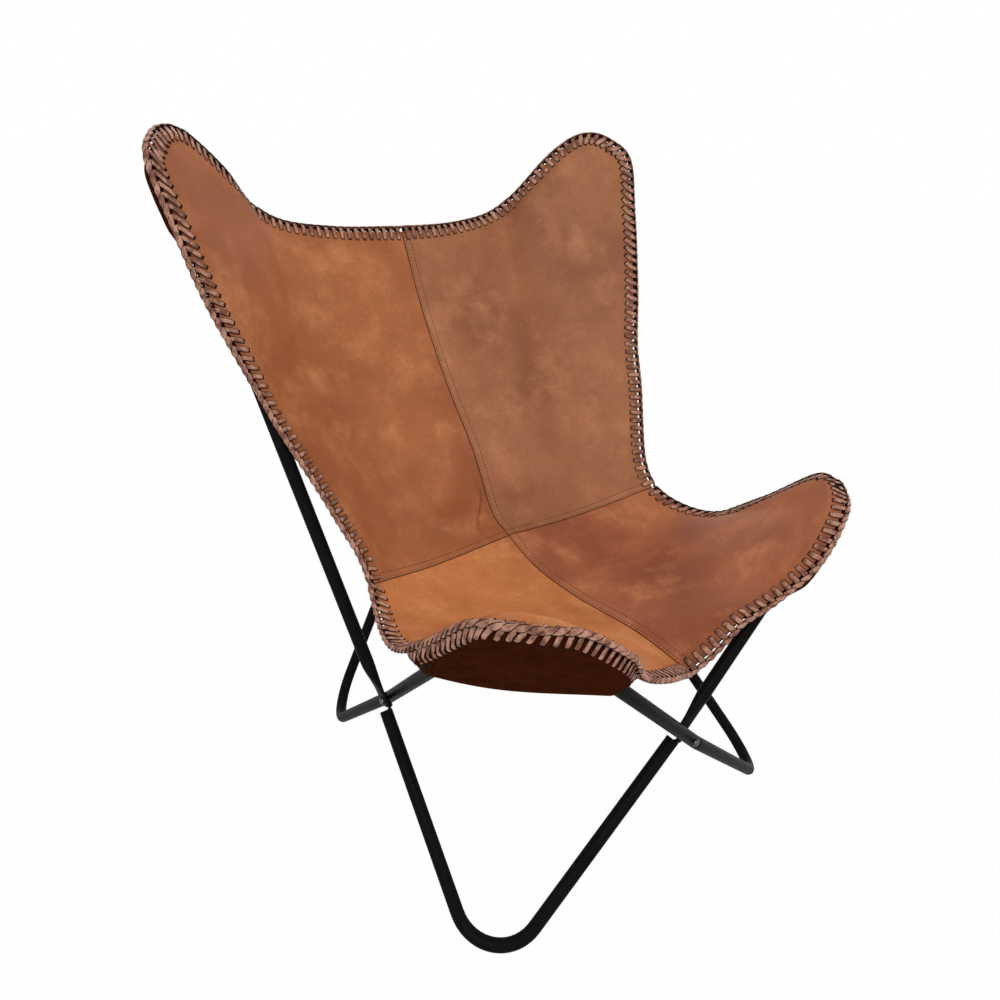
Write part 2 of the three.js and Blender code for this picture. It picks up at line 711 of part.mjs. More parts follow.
// Panels stop half a seam gap short of the centre line and of the cross seam
function panelRows(rows, from, to) {
  return rows.slice(from, to + 1).map((points, index) => points.map((point, column) => {
    const row = from + index
    const neighbour = from === seamRow ? row + 1 : row - 1
    const held = point.clone()
    if (row === seamRow) {
      const pull = rows[neighbour][column].clone().sub(point).normalize()
      held.addScaledVector(pull, seamGap / 2)
    }
    return column === 0 ? held.setX(seamGap / 2) : held
  }))
}

const panelSpans = { back_panel: [seamRow, lastRow], seat_panel: [0, seamRow] }
for (const [name, [from, to]] of Object.entries(panelSpans)) {
  addBothSides(name, panelRows(upperRows, from, to), panelRows(underRows, from, to), leather)
}

// A pocket is the leather under a wing. Its rows run from one edge of the sling, under
// both legs of the tube, to the other edge, and the last row is its open mouth.
function pocketRowsOf(wing, inset, firstEdge, firstEnd, secondEdge, secondEnd) {
  const edgePoint = (curve, end, distance) => {
    const share = distance / curve.getLength()
    return curve.getPointAt(end === 0 ? share : 1 - share)
  }
  return Array.from({ length: pocketRows + 1 }, (_, row) => {
    const distance = THREE.MathUtils.lerp(pocketStart, pocketLength, row / pocketRows)
    const first = edgePoint(firstEdge, firstEnd, distance)
    const second = edgePoint(secondEdge, secondEnd, distance)
    const width = first.distanceTo(second)
    const middles = Array.from({ length: pocketColumns - 1 }, (_, column) => (
      THREE.MathUtils.lerp(pocketFold, width - pocketFold, column / (pocketColumns - 2))))
    return [inset, ...middles, width - inset].map((place, column) => {
      const sag = pocketMouthSag * (row / pocketRows) * Math.sin(Math.PI * place / width)
      const point = first.clone().lerp(second, place / width).addScaledVector(wing.inward, sag)
      const isEdge = column === 0 || column === pocketColumns
      const underPanel = heightOver(wing, point) - leatherThickness - seamGap
      const height = isEdge ? underPanel : Math.min(underPanel, -drapeAt(wing, point))
      return point.addScaledVector(wing.sitterWay, height - heightOver(wing, point))
    })
  })
}

const rearPocket = pocketRowsOf(rearWing, rearPocketInset, sideEdge, 0, topEdge, 1)
const frontPocket = pocketRowsOf(frontWing, frontPocketInset, frontEdge, 1, sideEdge, 1)
addBothSides('corner_pocket_rear', rearPocket, shiftedRows(rearPocket, -pocketThickness), suede)
addBothSides('corner_pocket_front', frontPocket, shiftedRows(frontPocket, -pocketThickness), suede)

// Lacing runs just outside a panel's free edge, level with the middle of the leather
function edgeNode(row, column, inwardRow, inwardColumn) {
  const middle = upperRows[row][column].clone().lerp(underRows[row][column], 0.5)
  return { middle, outward: middle.clone().sub(upperRows[inwardRow][inwardColumn]).normalize() }
}

function lacingStations(nodes) {
  return nodes.map((node, index) => {
    const before = nodes[Math.max(index - 1, 0)].middle
    const after = nodes[Math.min(index + 1, nodes.length - 1)].middle
    const heading = after.clone().sub(before).normalize()
    const outward = node.outward.clone()
    outward.addScaledVector(heading, -outward.dot(heading)).normalize()
    return { place: node.middle.clone().addScaledVector(outward, lacingDiameter / 2 + lacingGap), heading }
  })
}

function lacingOf(edgeRow, inwardRow, rows) {
  const inwardColumn = lastColumn - 2
  const along = Array.from({ length: lastColumn }, (_, column) => edgeNode(edgeRow, column, inwardRow, column))
  const corner = edgeNode(edgeRow, lastColumn, inwardRow, inwardColumn)
  const down = rows.map((row) => edgeNode(row, lastColumn, row, inwardColumn))
  const stations = lacingStations([...along, corner, ...down]).slice(0, -1)
  stations[0].place.x = seamGap / 2
  stations[0].heading = new THREE.Vector3(1, 0, 0)
  const last = stations[stations.length - 1]
  last.place.addScaledVector(last.heading, -seamGap / 2)
  return carriedRings(stations, lacingSides, () => round(lacingDiameter / 2))
}

// Each list of rows ends one row past the cross seam, which gives the heading there
const backEdgeRows = Array.from({ length: lastRow - seamRow + 1 }, (_, index) => lastRow - 1 - index)
const seatEdgeRows = Array.from({ length: seamRow + 1 }, (_, index) => index + 1)
const lacings = {
  lacing_back: lacingOf(lastRow, lastRow - 2, backEdgeRows),
  lacing_seat: lacingOf(0, 2, seatEdgeRows),
}
for (const [name, rings] of Object.entries(lacings)) {
  addPiece(`${name}_left`, skinned(rings, false), lace)
  addPiece(`${name}_right`, skinned(mirrored(rings), false), lace)
}

// The chair stands centred over its origin
chair.position.y = -new THREE.Box3().setFromObject(chair).getCenter(new THREE.Vector3()).y

export default chair
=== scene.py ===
import math
import bpy
import numpy as np
from mathutils import Matrix, Vector
from mathutils.bvhtree import BVHTree


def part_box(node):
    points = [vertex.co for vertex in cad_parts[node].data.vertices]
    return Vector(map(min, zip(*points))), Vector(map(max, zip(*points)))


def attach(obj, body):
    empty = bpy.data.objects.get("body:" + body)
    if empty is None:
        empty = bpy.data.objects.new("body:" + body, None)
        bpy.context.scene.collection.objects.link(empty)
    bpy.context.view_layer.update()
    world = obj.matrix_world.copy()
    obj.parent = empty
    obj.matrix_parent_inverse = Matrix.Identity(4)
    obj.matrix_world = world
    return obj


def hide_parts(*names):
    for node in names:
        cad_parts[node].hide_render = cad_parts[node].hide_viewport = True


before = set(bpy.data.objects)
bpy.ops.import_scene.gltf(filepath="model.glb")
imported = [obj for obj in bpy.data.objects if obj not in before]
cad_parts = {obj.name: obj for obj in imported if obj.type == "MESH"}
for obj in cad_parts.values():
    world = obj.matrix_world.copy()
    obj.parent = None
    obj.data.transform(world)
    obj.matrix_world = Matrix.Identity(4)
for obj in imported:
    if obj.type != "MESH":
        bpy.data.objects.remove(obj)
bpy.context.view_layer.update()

# Where the tubes' straight legs would meet and where the bars cross, as the CAD has them
rods = {
    "diameter": 0.0165, "wall": 0.0015, "fitGap": 0.0003,
    "floorBend": 0.054, "wingBend": 0.028, "flatDepth": 0.0007,
    "frontFoot": (0.277, -0.271, 0), "rearFoot": (0.206, 0.249, 0),
    "frontWing": (0.281, -0.292, 0.500), "rearWing": (0.356, 0.296, 0.918),
    "sideCrossing": (0.244, -0.012, 0.209), "frontCrossing": (0, -0.295, 0.222),
    "rearCrossing": (0, 0.278, 0.320),
    "sides": 28, "bendSteps": 18, "settleRounds": 8, "rimBevel": 0.0003, "rimAngle": 55, "weld": 1e-5,
}
tongue = {
    "thickness": 0.004, "width": 0.021, "overrun": 0.008, "taper": 0.050, "steps": 10,
    "squareness": 0.45, "dieShare": 1.5,
}
socket = {
    "overrun": 0.014, "spigotLength": 0.042, "spigotRadius": 0.0061,
    "shoulder": 0.001, "elbowRadius": 0.030, "elbowReach": 0.004, "elbowSteps": 6,
}
tab = {"width": 0.009, "overrun": 0.008, "flat": 0.011, "setback": 0.013, "root": 0.022}
edgeBevel = {"width": 0.0006, "angle": 50}
bolt = {
    "diameter": 0.006, "headDiameter": 0.0095, "headHeight": 0.003, "dome": 0.0026, "domeSteps": 5,
    "nutWidth": 0.010, "nutHeight": 0.005, "tail": 0.003, "sides": 24, "nutSides": 6, "levelShare": 0.9,
}
sideSigns = {"right": -1, "left": 1}
tubeRadius = rods["diameter"] / 2
boreRadius = tubeRadius - rods["wall"]
crossingSpacing = rods["diameter"] + rods["fitGap"]
gripLength = crossingSpacing + tubeRadius + 2 * rods["fitGap"]


def cornerAt(side, place):
    return Vector((sideSigns[side] * place[0], place[1], place[2]))


wings = {
    f"{end}_{side}": cornerAt(side, rods[f"{end}Wing"]) for end in ("rear", "front") for side in sideSigns
}


def crossingOf(middle, first, second, outward, firstIsOutside):
    # the stack way points from the first rod's axis to the second's, square to both upper legs
    firstAxis, secondAxis = middle.copy(), middle.copy()
    for turn in range(rods["settleRounds"]):
        stackWay = (wings[first] - firstAxis).cross(wings[second] - secondAxis).normalized()
        if (stackWay.dot(Vector(outward)) > 0) == firstIsOutside:
            stackWay.negate()
        firstAxis = middle - stackWay * crossingSpacing / 2
        secondAxis = middle + stackWay * crossingSpacing / 2
    return {
        "middle": middle, "stackWay": stackWay, "firstAxis": firstAxis, "secondAxis": secondAxis,
        "secondWing": wings[second], "firstIsOutside": firstIsOutside,
    }


def boltSeat(crossing):
    if crossing["firstIsOutside"]:
        level, way = -rods["fitGap"], crossing["stackWay"]
    else:
        level, way = gripLength - rods["fitGap"], -crossing["stackWay"]
    return crossing["firstAxis"] + crossing["stackWay"] * level, way


# The CAD centres the chair over its origin, and a nut's own box says how far that moved it
rightCrossing, leftCrossing = (cornerAt(side, rods["sideCrossing"]) for side in sideSigns)
crossings = {
    "right": crossingOf(rightCrossing, "rear_right", "front_right", (-1, 0, 0), True),
    "left": crossingOf(leftCrossing, "front_left", "rear_left", (1, 0, 0), True),
    "front": crossingOf(Vector(rods["frontCrossing"]), "front_left", "front_right", (0, -1, 0), False),
    "rear": crossingOf(Vector(rods["rearCrossing"]), "rear_right", "rear_left", (0, 1, 0), False),
}
nutPlace, nutWay = boltSeat(crossings["right"])
nutLow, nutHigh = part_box("crossing_nut_right")
shift = (nutLow.y + nutHigh.y) / 2 - (nutPlace + nutWay * (gripLength + bolt["nutHeight"] / 2)).y
chairShift = Vector((0, shift, 0))
print("chair shift", round(shift, 5))


def activeOnly(obj):
    bpy.ops.object.select_all(action="DESELECT")
    obj.select_set(True)
    bpy.context.view_layer.objects.active = obj


def lookingAlong(place, way):
    return Matrix.Translation(place) @ way.to_track_quat("Z", "Y").to_matrix().to_4x4()


def applyPlace():
    bpy.ops.object.transform_apply(location=True, rotation=True, scale=True)


def faceOutwards():
    bpy.ops.object.mode_set(mode="EDIT")
    bpy.ops.mesh.select_all(action="SELECT")
    bpy.ops.mesh.normals_make_consistent(inside=False)
    bpy.ops.object.mode_set(mode="OBJECT")


def modified(obj, kind, **settings):
    modifier = obj.modifiers.new(kind, kind)
    for name, value in settings.items():
        setattr(modifier, name, value)
    bpy.ops.object.modifier_apply(modifier=kind)


def bevelled(obj, width, angle):
    modified(obj, "BEVEL", width=width, segments=2, angle_limit=math.radians(angle))


def finished(obj, name, node, materials=(), smoothAngle=40):
    # names a piece, sets its place in its mesh, and hands it to the frame
    activeOnly(obj)
    applyPlace()
    bpy.ops.object.shade_smooth_by_angle(angle=math.radians(smoothAngle))
    obj.name = name
    obj.data.name = name
    for material in materials:
        obj.data.materials.append(material)
    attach(obj, "root")
    if node:
        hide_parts(node)
    return obj


def meshPiece(name, verts, faces, materials, slots=None):
    mesh = bpy.data.meshes.new(name)
    mesh.from_pydata([tuple(map(float, v)) for v in verts], [], [tuple(map(int, f)) for f in faces])
    for material in materials:
        mesh.materials.append(material)
    if slots is not None:
        mesh.polygons.foreach_set("material_index", np.asarray(slots, dtype=np.int32))
    mesh.update()
    obj = bpy.data.objects.new(name, mesh)
    bpy.context.scene.collection.objects.link(obj)
    return obj


class Shade:
    # a material's socket, so that maths on masks is written as maths
    def __init__(self, tree, socket=None):
        self.tree, self.socket = tree, socket

    def node(self, kind, settings=None, inputs=None, output=0):
        made = self.tree.nodes.new("ShaderNode" + kind)
        for name, value in (settings or {}).items():
            setattr(made, name, value)
        for name, value in (inputs or {}).items():
            if isinstance(value, Shade):
                self.tree.links.new(value.socket, made.inputs[name])
            elif isinstance(value, tuple) and len(value) == 3 and made.inputs[name].type == "RGBA":
                made.inputs[name].default_value = (*value, 1)
            else:
                made.inputs[name].default_value = value
        return Shade(self.tree, made.outputs[output] if len(made.outputs) else None)

    def maths(operation, isReflected=False):
        def method(self, other):
            first, second = (other, self) if isReflected else (self, other)
            return self.node("Math", {"operation": operation}, {0: first, 1: second})
        return method

    __add__ = __radd__ = maths("ADD")
    __mul__ = __rmul__ = maths("MULTIPLY")
    __sub__, __rsub__ = maths("SUBTRACT"), maths("SUBTRACT", True)

    def ramp(self, low, high):
        settings = {"interpolation_type": "SMOOTHSTEP"}
        return self.node("MapRange", settings, {"Value": self, 1: low, 2: high})

    def mix(self, share, first, second):
        return self.node("Mix", {"data_type": "RGBA"}, {0: share, 6: first, 7: second}, 2)

    def noise(self, place, scale, detail, roughness=0.55, distortion=0.0):
        inputs = {"Scale": scale, "Detail": detail, "Roughness": roughness, "Distortion": distortion}
        return self.node("TexNoise", None, {"Vector": place, **inputs})

    def mapped(self, place, **inputs):
        return self.node("Mapping", None, {"Vector": place, **inputs})

    def bump(self, strength, distance):
        return self.node("Bump", None, {"Strength": strength, "Distance": distance, "Height": self})


def freshTree(owner):
    owner.use_nodes = True
    owner.node_tree.nodes.clear()
    return Shade(owner.node_tree)


def newMaterial(name, build):
    material = bpy.data.materials.new(name)
    shade = freshTree(material)
    surface = shade.node("BsdfPrincipled", None, build(shade, shade.node("TexCoord", output="Object")))
    shade.node("OutputMaterial", None, {"Surface": surface})
    return material


def darker(tone, share):
    return tuple(share * part for part in tone)


def satinBlack(shade, place):
    fine = shade.noise(place, 900, 2)
    broad = shade.noise(place, 22, 3)
    return {
        "Base Color": shade.mix(broad, (0.0048, 0.0043, 0.0041), (0.0095, 0.0086, 0.0080)),
        "Roughness": 0.27 + broad * 0.10 + fine * 0.05, "Normal": fine.bump(0.12, 0.0002),
        "Specular IOR Level": 0.012,
    }


def boltMetal(shade, place):
    rub = shade.noise(place, 420, 4, 0.7)
    tone = shade.mix(rub.ramp(0.42, 0.68), (0.035, 0.033, 0.032), (0.20, 0.19, 0.185))
    return {
        "Base Color": tone, "Roughness": 0.22 + rub * 0.22, "Metallic": 0.9, "Normal": rub.bump(0.2, 0.0002),
    }


def pullUpLeather(deep, middle, light, cloudShift):
    # oiled leather: broad clouds, pulled-up lighter blotches, fine scratches and a fine pebble
    def build(shade, place):
        moved = shade.mapped(place, Location=cloudShift)
        broad = shade.noise(moved, 5.0, 3, 0.5, 0.1)
        cloud = shade.noise(moved, 15, 6, 0.66, 0.15)
        blotch = shade.noise(moved, 46, 6, 0.70, 0.35)
        pebble = shade.node("TexVoronoi", {"feature": "SMOOTH_F1"}, {"Vector": moved, "Scale": 720.0})
        crease = shade.noise(moved, 260, 5, 0.7, 0.4)
        tone = shade.mix(broad.ramp(0.30, 0.62), deep, middle)
        tone = shade.mix(cloud.ramp(0.46, 0.76) * 0.66, tone, light)
        tone = shade.mix((1 - cloud).ramp(0.50, 0.78) * 0.60, tone, deep)
        pulled = blotch.ramp(0.54, 0.74) * broad.ramp(0.42, 0.64)
        tone = shade.mix(pulled * 0.34, tone, light)
        speck = shade.noise(moved, 480, 2, 0.8)
        tone = shade.mix(speck.ramp(0.35, 0.7) * 0.24, tone, darker(deep, 0.62))
        scratches = 0
        for turn, share in ((0.35, 0.22), (1.25, 0.18), (2.3, 0.16)):
            along = shade.mapped(moved, Rotation=(0.3, turn, turn), Scale=(5, 150, 150))
            scratches = shade.noise(along, 1.0, 2, 0.5, 0.1).ramp(0.69, 0.76) * share + scratches
        tone = shade.mix(scratches * cloud.ramp(0.35, 0.6), tone, light)
        # painted shade along the seams and in the hollows, darker wear along the rim, and a painted highlight
        # beside the laps' edges
        wearAndPaintedLight = shade.node("Attribute", {"attribute_name": "seamShade"}, output=2)
        tone = shade.mix(wearAndPaintedLight.ramp(0, 1) * 0.62, tone, darker(deep, 0.35))
        tone = shade.mix(wearAndPaintedLight.ramp(0, -1) * 0.5, tone, light)
        tone = shade.mix(crease.ramp(0.35, 0.7) * 0.16, tone, darker(deep, 0.6))
        return {
            "Base Color": tone, "Roughness": 0.44 + cloud * 0.18 - pulled * 0.08,
            "Normal": (pebble * 0.5 + crease * 0.7).bump(0.22, 0.0006), "Specular IOR Level": 0.16,
        }
    return build


def suedeSide(shade, place):
    nap = shade.noise(place, 60, 5, 0.7, 0.5)
    fuzz = shade.noise(place, 900, 3, 0.7)
    tone = shade.mix(nap.ramp(0.3, 0.75), (0.025, 0.0036, 0.0004), (0.048, 0.0088, 0.0015))
    return {
        "Base Color": shade.mix(fuzz.ramp(0.5, 0.8) * 0.30, tone, (0.075, 0.024, 0.0085)),
        "Roughness": 0.9 + fuzz * 0.08, "Normal": (fuzz + nap * 0.6).bump(0.35, 0.0006),
        "Specular IOR Level": 0.01,
    }


def laceLeather(shade, place):
    tint = shade.noise(place, 95, 3, 0.6)
    grain = shade.noise(place, 700, 3, 0.7)
    tone = shade.mix(tint.ramp(0.36, 0.64), (0.150, 0.056, 0.034), (0.460, 0.235, 0.160))
    return {
        "Base Color": shade.mix(grain.ramp(0.45, 0.75) * 0.40, tone, (0.07, 0.024, 0.014)),
        "Roughness": 0.42 + grain * 0.2, "Normal": grain.bump(0.3, 0.0004), "Specular IOR Level": 0.2,
    }


def laceShadow(shade, place):
    grain = shade.noise(place, 500, 3, 0.7)
    tone = shade.mix(grain, (0.006, 0.0022, 0.0012), (0.028, 0.009, 0.005))
    return {
        "Base Color": tone, "Roughness": 0.85, "Normal": grain.bump(0.3, 0.0004), "Specular IOR Level": 0.05,
    }


def waxedThread(shade, place):
    twist = shade.noise(place, 1400, 2)
    tone = shade.mix(twist, (0.035, 0.012, 0.006), (0.13, 0.055, 0.03))
    return {"Base Color": tone, "Roughness": 0.6 + twist * 0.2}


paintMaterial = newMaterial("frame_paint", satinBlack)
boltMaterial = newMaterial("fastener", boltMetal)
suedeMaterial = newMaterial("suede", suedeSide)
laceMaterial = newMaterial("lace", laceLeather)
shadowMaterial = newMaterial("lace_core", laceShadow)
threadMaterial = newMaterial("thread", waxedThread)
leatherTones = {
    "back_panel_right": ((0.265, 0.076, 0.023), (0.375, 0.122, 0.042), (0.560, 0.225, 0.092), (0, 0, 0)),
    "back_panel_left": ((0.225, 0.075, 0.029), (0.345, 0.132, 0.055), (0.500, 0.218, 0.100), (1.7, 0.4, 0.2)),
    "seat_panel_right": ((0.360, 0.108, 0.032), (0.520, 0.178, 0.058), (0.740, 0.325, 0.128), (0.6, 2.1, 0.9)),
    "seat_panel_left": ((0.235, 0.064, 0.027), (0.390, 0.128, 0.050), (0.580, 0.235, 0.092), (2.6, 1.2, 1.4)),
}
leathers = {
    name: newMaterial(f"leather_{name}", pullUpLeather(*tones)) for name, tones in leatherTones.items()
}
print("materials ready")


# Bent tubes: a circle at one end, drawn along the leg, spun round each bend and drawn out again
def cornerArc(before, apex, after, radius):
    back, onward = (before - apex).normalized(), (after - apex).normalized()
    half = back.angle(onward) / 2
    inward = (back + onward).normalized()
    centre = apex + inward * (radius / math.sin(half))
    spoke = (apex + back * (radius / math.tan(half)) - centre).normalized()
    return {"centre": centre, "spoke": spoke, "heading": -back, "inward": inward, "turn": math.pi - 2 * half}


def drawTo(place, there):
    bpy.ops.mesh.extrude_region_move(TRANSFORM_OT_translate={"value": there - place})
    return there


def resizeRing(share, place):
    bpy.ops.transform.resize(value=(share,) * 3, center_override=place)


def bentTube(corners, bends, startRadius=tubeRadius, startLengths=(), endLengths=(), shoulder=None):
    onward, homeward = wayFrom(corners[0], corners[1]), wayFrom(corners[-2], corners[-1])
    bpy.ops.mesh.primitive_circle_add(vertices=rods["sides"], radius=startRadius)
    obj = bpy.context.object
    obj.matrix_world = lookingAlong(corners[0], onward)
    applyPlace()
    bpy.ops.object.mode_set(mode="EDIT")
    bpy.ops.mesh.select_all(action="SELECT")
    place = corners[0]
    for length in startLengths:
        place = drawTo(place, corners[0] + onward * length)
    if shoulder:
        place = drawTo(place, place + onward * shoulder)
        resizeRing(tubeRadius / startRadius, place)
    for index, (radius, steps) in enumerate(bends):
        arc = cornerArc(corners[index], corners[index + 1], corners[index + 2], radius)
        arcStart = arc["centre"] + arc["spoke"] * radius
        if (arcStart - place).length > rods["weld"]:
            place = drawTo(place, arcStart)
        # the spin operator turns against the right-hand rule, so its axis is turned over
        axis = -arc["spoke"].cross(arc["heading"])
        bpy.ops.mesh.spin(steps=steps, angle=arc["turn"], center=arc["centre"], axis=axis)
        turned = arc["spoke"] * math.cos(arc["turn"]) + arc["heading"] * math.sin(arc["turn"])
        place = arc["centre"] + turned * radius
    if shoulder:
        place = drawTo(place, corners[-1] - homeward * (endLengths[0] + shoulder))
        place = drawTo(place, place + homeward * shoulder)
        resizeRing(startRadius / tubeRadius, place)
        endLengths = ()
    for length in (*endLengths, 0):
        place = drawTo(place, corners[-1] - homeward * length)
    bpy.ops.mesh.select_all(action="SELECT")
    bpy.ops.mesh.remove_doubles(threshold=rods["weld"])
    faceOutwards()
    return obj


def lerp(low, high, share):
    return low + (high - low) * share


def smoothstep(values, low, high):
    share = np.clip((values - low) / (high - low), 0, 1)
    return share * share * (3 - 2 * share)


def pressFlat(obj, tip, inwardWay, flatWay):
    # presses a tube's end between dies: a flat tongue, then a taper back to the round
    wideWay = inwardWay.cross(flatWay).normalized()
    flatLength = 2 * tongue["overrun"]
    reach = flatLength + tongue["taper"]
    for vert in obj.data.vertices:
        offset = vert.co - tip
        fromEnd = offset.dot(inwardWay)
        radial = offset - inwardWay * fromEnd
        if fromEnd > reach or radial.length > tongue["dieShare"] * tubeRadius:
            continue
        share = float(smoothstep(fromEnd, flatLength, reach))
        cosine, sine = radial.dot(flatWay) / tubeRadius, radial.dot(wideWay) / tubeRadius
        power = lerp(tongue["squareness"], 1, share)
        thick, wide = (lerp(tongue[size] / 2, tubeRadius, share) for size in ("thickness", "width"))
        thickStep = math.copysign(abs(cosine) ** power, cosine) * thick
        thickStep += (tongue["thickness"] / 2) * (1 - share)
        wideStep = math.copysign(abs(sine) ** power, sine) * wide
        vert.co = tip + inwardWay * fromEnd + flatWay * thickStep + wideWay * wideStep


def shifted(*places):
    return [place + chairShift for place in places]


def wayFrom(apex, place):
    return (place - apex).normalized()


wingBend, floorBend = ((rods[name], rods["bendSteps"]) for name in ("wingBend", "floorBend"))


def tonguedV(apex, ends):
    tips = [end["firstAxis"] + wayFrom(apex, end["firstAxis"]) * tongue["overrun"] for end in ends]
    flatLength = 2 * tongue["overrun"]
    steps = [flatLength + tongue["taper"] * step / tongue["steps"] for step in range(tongue["steps"] + 1)]
    obj = bentTube(shifted(tips[0], apex, tips[1]), [wingBend], startLengths=steps, endLengths=steps[::-1])
    for end, tip in zip(ends, tips):
        pressFlat(obj, tip + chairShift, wayFrom(tip, apex), end["stackWay"])
    return obj, ()


def pastCrossing(end, distance):
    return end["secondAxis"] + wayFrom(end["secondWing"], end["secondAxis"]) * distance


def socketV(apex, ends):
    tips = [pastCrossing(end, socket["overrun"]) for end in ends]
    return bentTube(shifted(tips[0], apex, tips[1]), [wingBend]), ()


def standing(foot, legEnds):
    # a floor V's apex, let down until its bend rests on the floor with a small flat
    apex = foot.copy()
    for turn in range(rods["settleRounds"]):
        arc = cornerArc(legEnds[0], apex, legEnds[1], rods["floorBend"])
        lowest = arc["centre"].z - rods["floorBend"] * math.hypot(arc["spoke"].z, arc["heading"].z)
        apex.z += tubeRadius - rods["flatDepth"] - lowest
    return apex


def spigotV(foot, ends):
    mouth = socket["overrun"] + rods["fitGap"]
    elbows = [pastCrossing(end, mouth + socket["elbowReach"]) for end in ends]
    tips = [pastCrossing(end, mouth - socket["spigotLength"]) for end in ends]
    elbow = (socket["elbowRadius"], socket["elbowSteps"])
    corners = shifted(tips[0], elbows[0], standing(foot, elbows), elbows[1], tips[1])
    lengths = (socket["spigotLength"],)
    bends = [elbow, floorBend, elbow]
    return bentTube(corners, bends, socket["spigotRadius"], lengths, lengths, socket["shoulder"]), ()


def tabbedV(foot, ends):
    apex = standing(foot, [end["firstAxis"] for end in ends])
    ways = [wayFrom(apex, end["firstAxis"]) for end in ends]
    tips = [end["firstAxis"] - way * tab["setback"] for end, way in zip(ends, ways)]
    obj = bentTube(shifted(tips[0], apex, tips[1]), [floorBend])
    return obj, [joggledTab(end, way) for end, way in zip(ends, ways)]


def joggledTab(end, way):
    # a flat bar that lies between the tongue and the other rod, and steps down into its own tube
    low = tongue["thickness"] + rods["fitGap"]
    high = crossingSpacing - tubeRadius - rods["fitGap"]
    thickness = high - low
    stackWay = end["stackWay"]
    rootLevel = stackWay * (boreRadius - rods["fitGap"] - thickness / 2)
    tabLevel = stackWay * (low + high) / 2
    level = (way - stackWay * way.dot(stackWay)).normalized()
    beside = way.cross(stackWay).normalized()
    steps = (
        rootLevel - way * (tab["setback"] + tab["root"]), rootLevel - way * tab["setback"],
        tabLevel - level * tab["flat"], tabLevel + level * tab["overrun"],
    )
    places = shifted(*[end["firstAxis"] + step for step in steps])
    bpy.ops.mesh.primitive_plane_add(size=1)
    obj = bpy.context.object
    turn = Matrix((beside, stackWay, beside.cross(stackWay))).transposed().to_4x4()
    size = Matrix.Diagonal((tab["width"], thickness, 1, 1))
    obj.matrix_world = Matrix.Translation(places[0]) @ turn @ size
    applyPlace()
    bpy.ops.object.mode_set(mode="EDIT")
    bpy.ops.mesh.select_all(action="SELECT")
    for place, there in zip(places, places[1:]):
        drawTo(place, there)
    faceOutwards()
    bevelled(obj, **edgeBevel)
    return obj


def addTube(node, obj, extras):
    activeOnly(obj)
    modified(obj, "SOLIDIFY", thickness=rods["wall"], offset=-1)
    bevelled(obj, rods["rimBevel"], rods["rimAngle"])
    for vert in obj.data.vertices:      # worn flat where it stands on the floor
        vert.co.z = max(vert.co.z, 0)
    for extra in extras:
        extra.select_set(True)
    if extras:
        bpy.ops.object.join()
    finished(obj, f"tube_{node}", node, [paintMaterial])


for kind, bend, end, side in (
        (tonguedV, "Wing", "rear", "right"), (tonguedV, "Wing", "front", "left"),
        (socketV, "Wing", "rear", "left"), (socketV, "Wing", "front", "right"),
        (tabbedV, "Foot", "front", "right"), (tabbedV, "Foot", "rear", "left"),
        (spigotV, "Foot", "front", "left"), (spigotV, "Foot", "rear", "right")):
    obj, extras = kind(cornerAt(side, rods[end + bend]), [crossings[side], crossings[end]])
    addTube(f"{'upper' if bend == 'Wing' else 'floor'}_v_{end}_{side}", obj, extras)
print("tubes ready")


# Crossing bolts: one domed bolt and one nut, copied to the four crossings
def cylinder(sides, radius, depth, middle):
    bpy.ops.mesh.primitive_cylinder_add(vertices=sides, radius=radius, depth=depth, location=(0, 0, middle))
    bpy.ops.object.transform_apply(location=True)
    return bpy.context.object


def pickFaces(obj, test):
    # leaves the object in edit mode, with the faces that pass the test selected
    bpy.ops.object.mode_set(mode="EDIT")
    bpy.ops.mesh.select_mode(type="FACE")
    bpy.ops.mesh.select_all(action="DESELECT")
    bpy.ops.object.mode_set(mode="OBJECT")
    for polygon in obj.data.polygons:
        polygon.select = test(polygon)
    bpy.ops.object.mode_set(mode="EDIT")


def domedBolt():
    obj = cylinder(bolt["sides"], bolt["headDiameter"] / 2, bolt["headHeight"], -bolt["headHeight"] / 2)
    levelShare = bolt["levelShare"]
    pickFaces(obj, lambda polygon: polygon.normal.z > levelShare)
    bpy.ops.mesh.inset(thickness=(bolt["headDiameter"] - bolt["diameter"]) / 2)
    shankLength = gripLength + bolt["nutHeight"] + bolt["tail"]
    bpy.ops.mesh.extrude_region_move(TRANSFORM_OT_translate={"value": (0, 0, shankLength)})
    headEnd = -bolt["headHeight"] * levelShare
    pickFaces(obj, lambda polygon: polygon.normal.z < -levelShare and polygon.center.z < headEnd)
    bpy.ops.mesh.bevel(offset=bolt["dome"], segments=bolt["domeSteps"], affect="EDGES")
    bpy.ops.object.mode_set(mode="OBJECT")
    return obj


def hexNut():
    middle = gripLength + bolt["nutHeight"] / 2
    obj = cylinder(bolt["nutSides"], bolt["nutWidth"] / math.sqrt(3), bolt["nutHeight"], middle)
    pickFaces(obj, lambda polygon: abs(polygon.normal.z) > bolt["levelShare"])
    bpy.ops.mesh.inset(thickness=(bolt["nutWidth"] - bolt["diameter"]) / 2 - 2 * rods["fitGap"])
    bpy.ops.mesh.bridge_edge_loops()
    faceOutwards()
    bevelled(obj, **edgeBevel)
    return obj


for kind, pattern in (("bolt", domedBolt()), ("nut", hexNut())):
    for name, crossing in crossings.items():
        seat, way = boltSeat(crossing)
        copy = pattern.copy()
        copy.data = pattern.data.copy()
        bpy.context.scene.collection.objects.link(copy)
        copy.matrix_world = lookingAlong(seat + chairShift, way)
        finished(copy, f"{kind}_{name}", f"crossing_{kind}_{name}", [boltMaterial])
    bpy.data.objects.remove(pattern)
print("bolts ready")

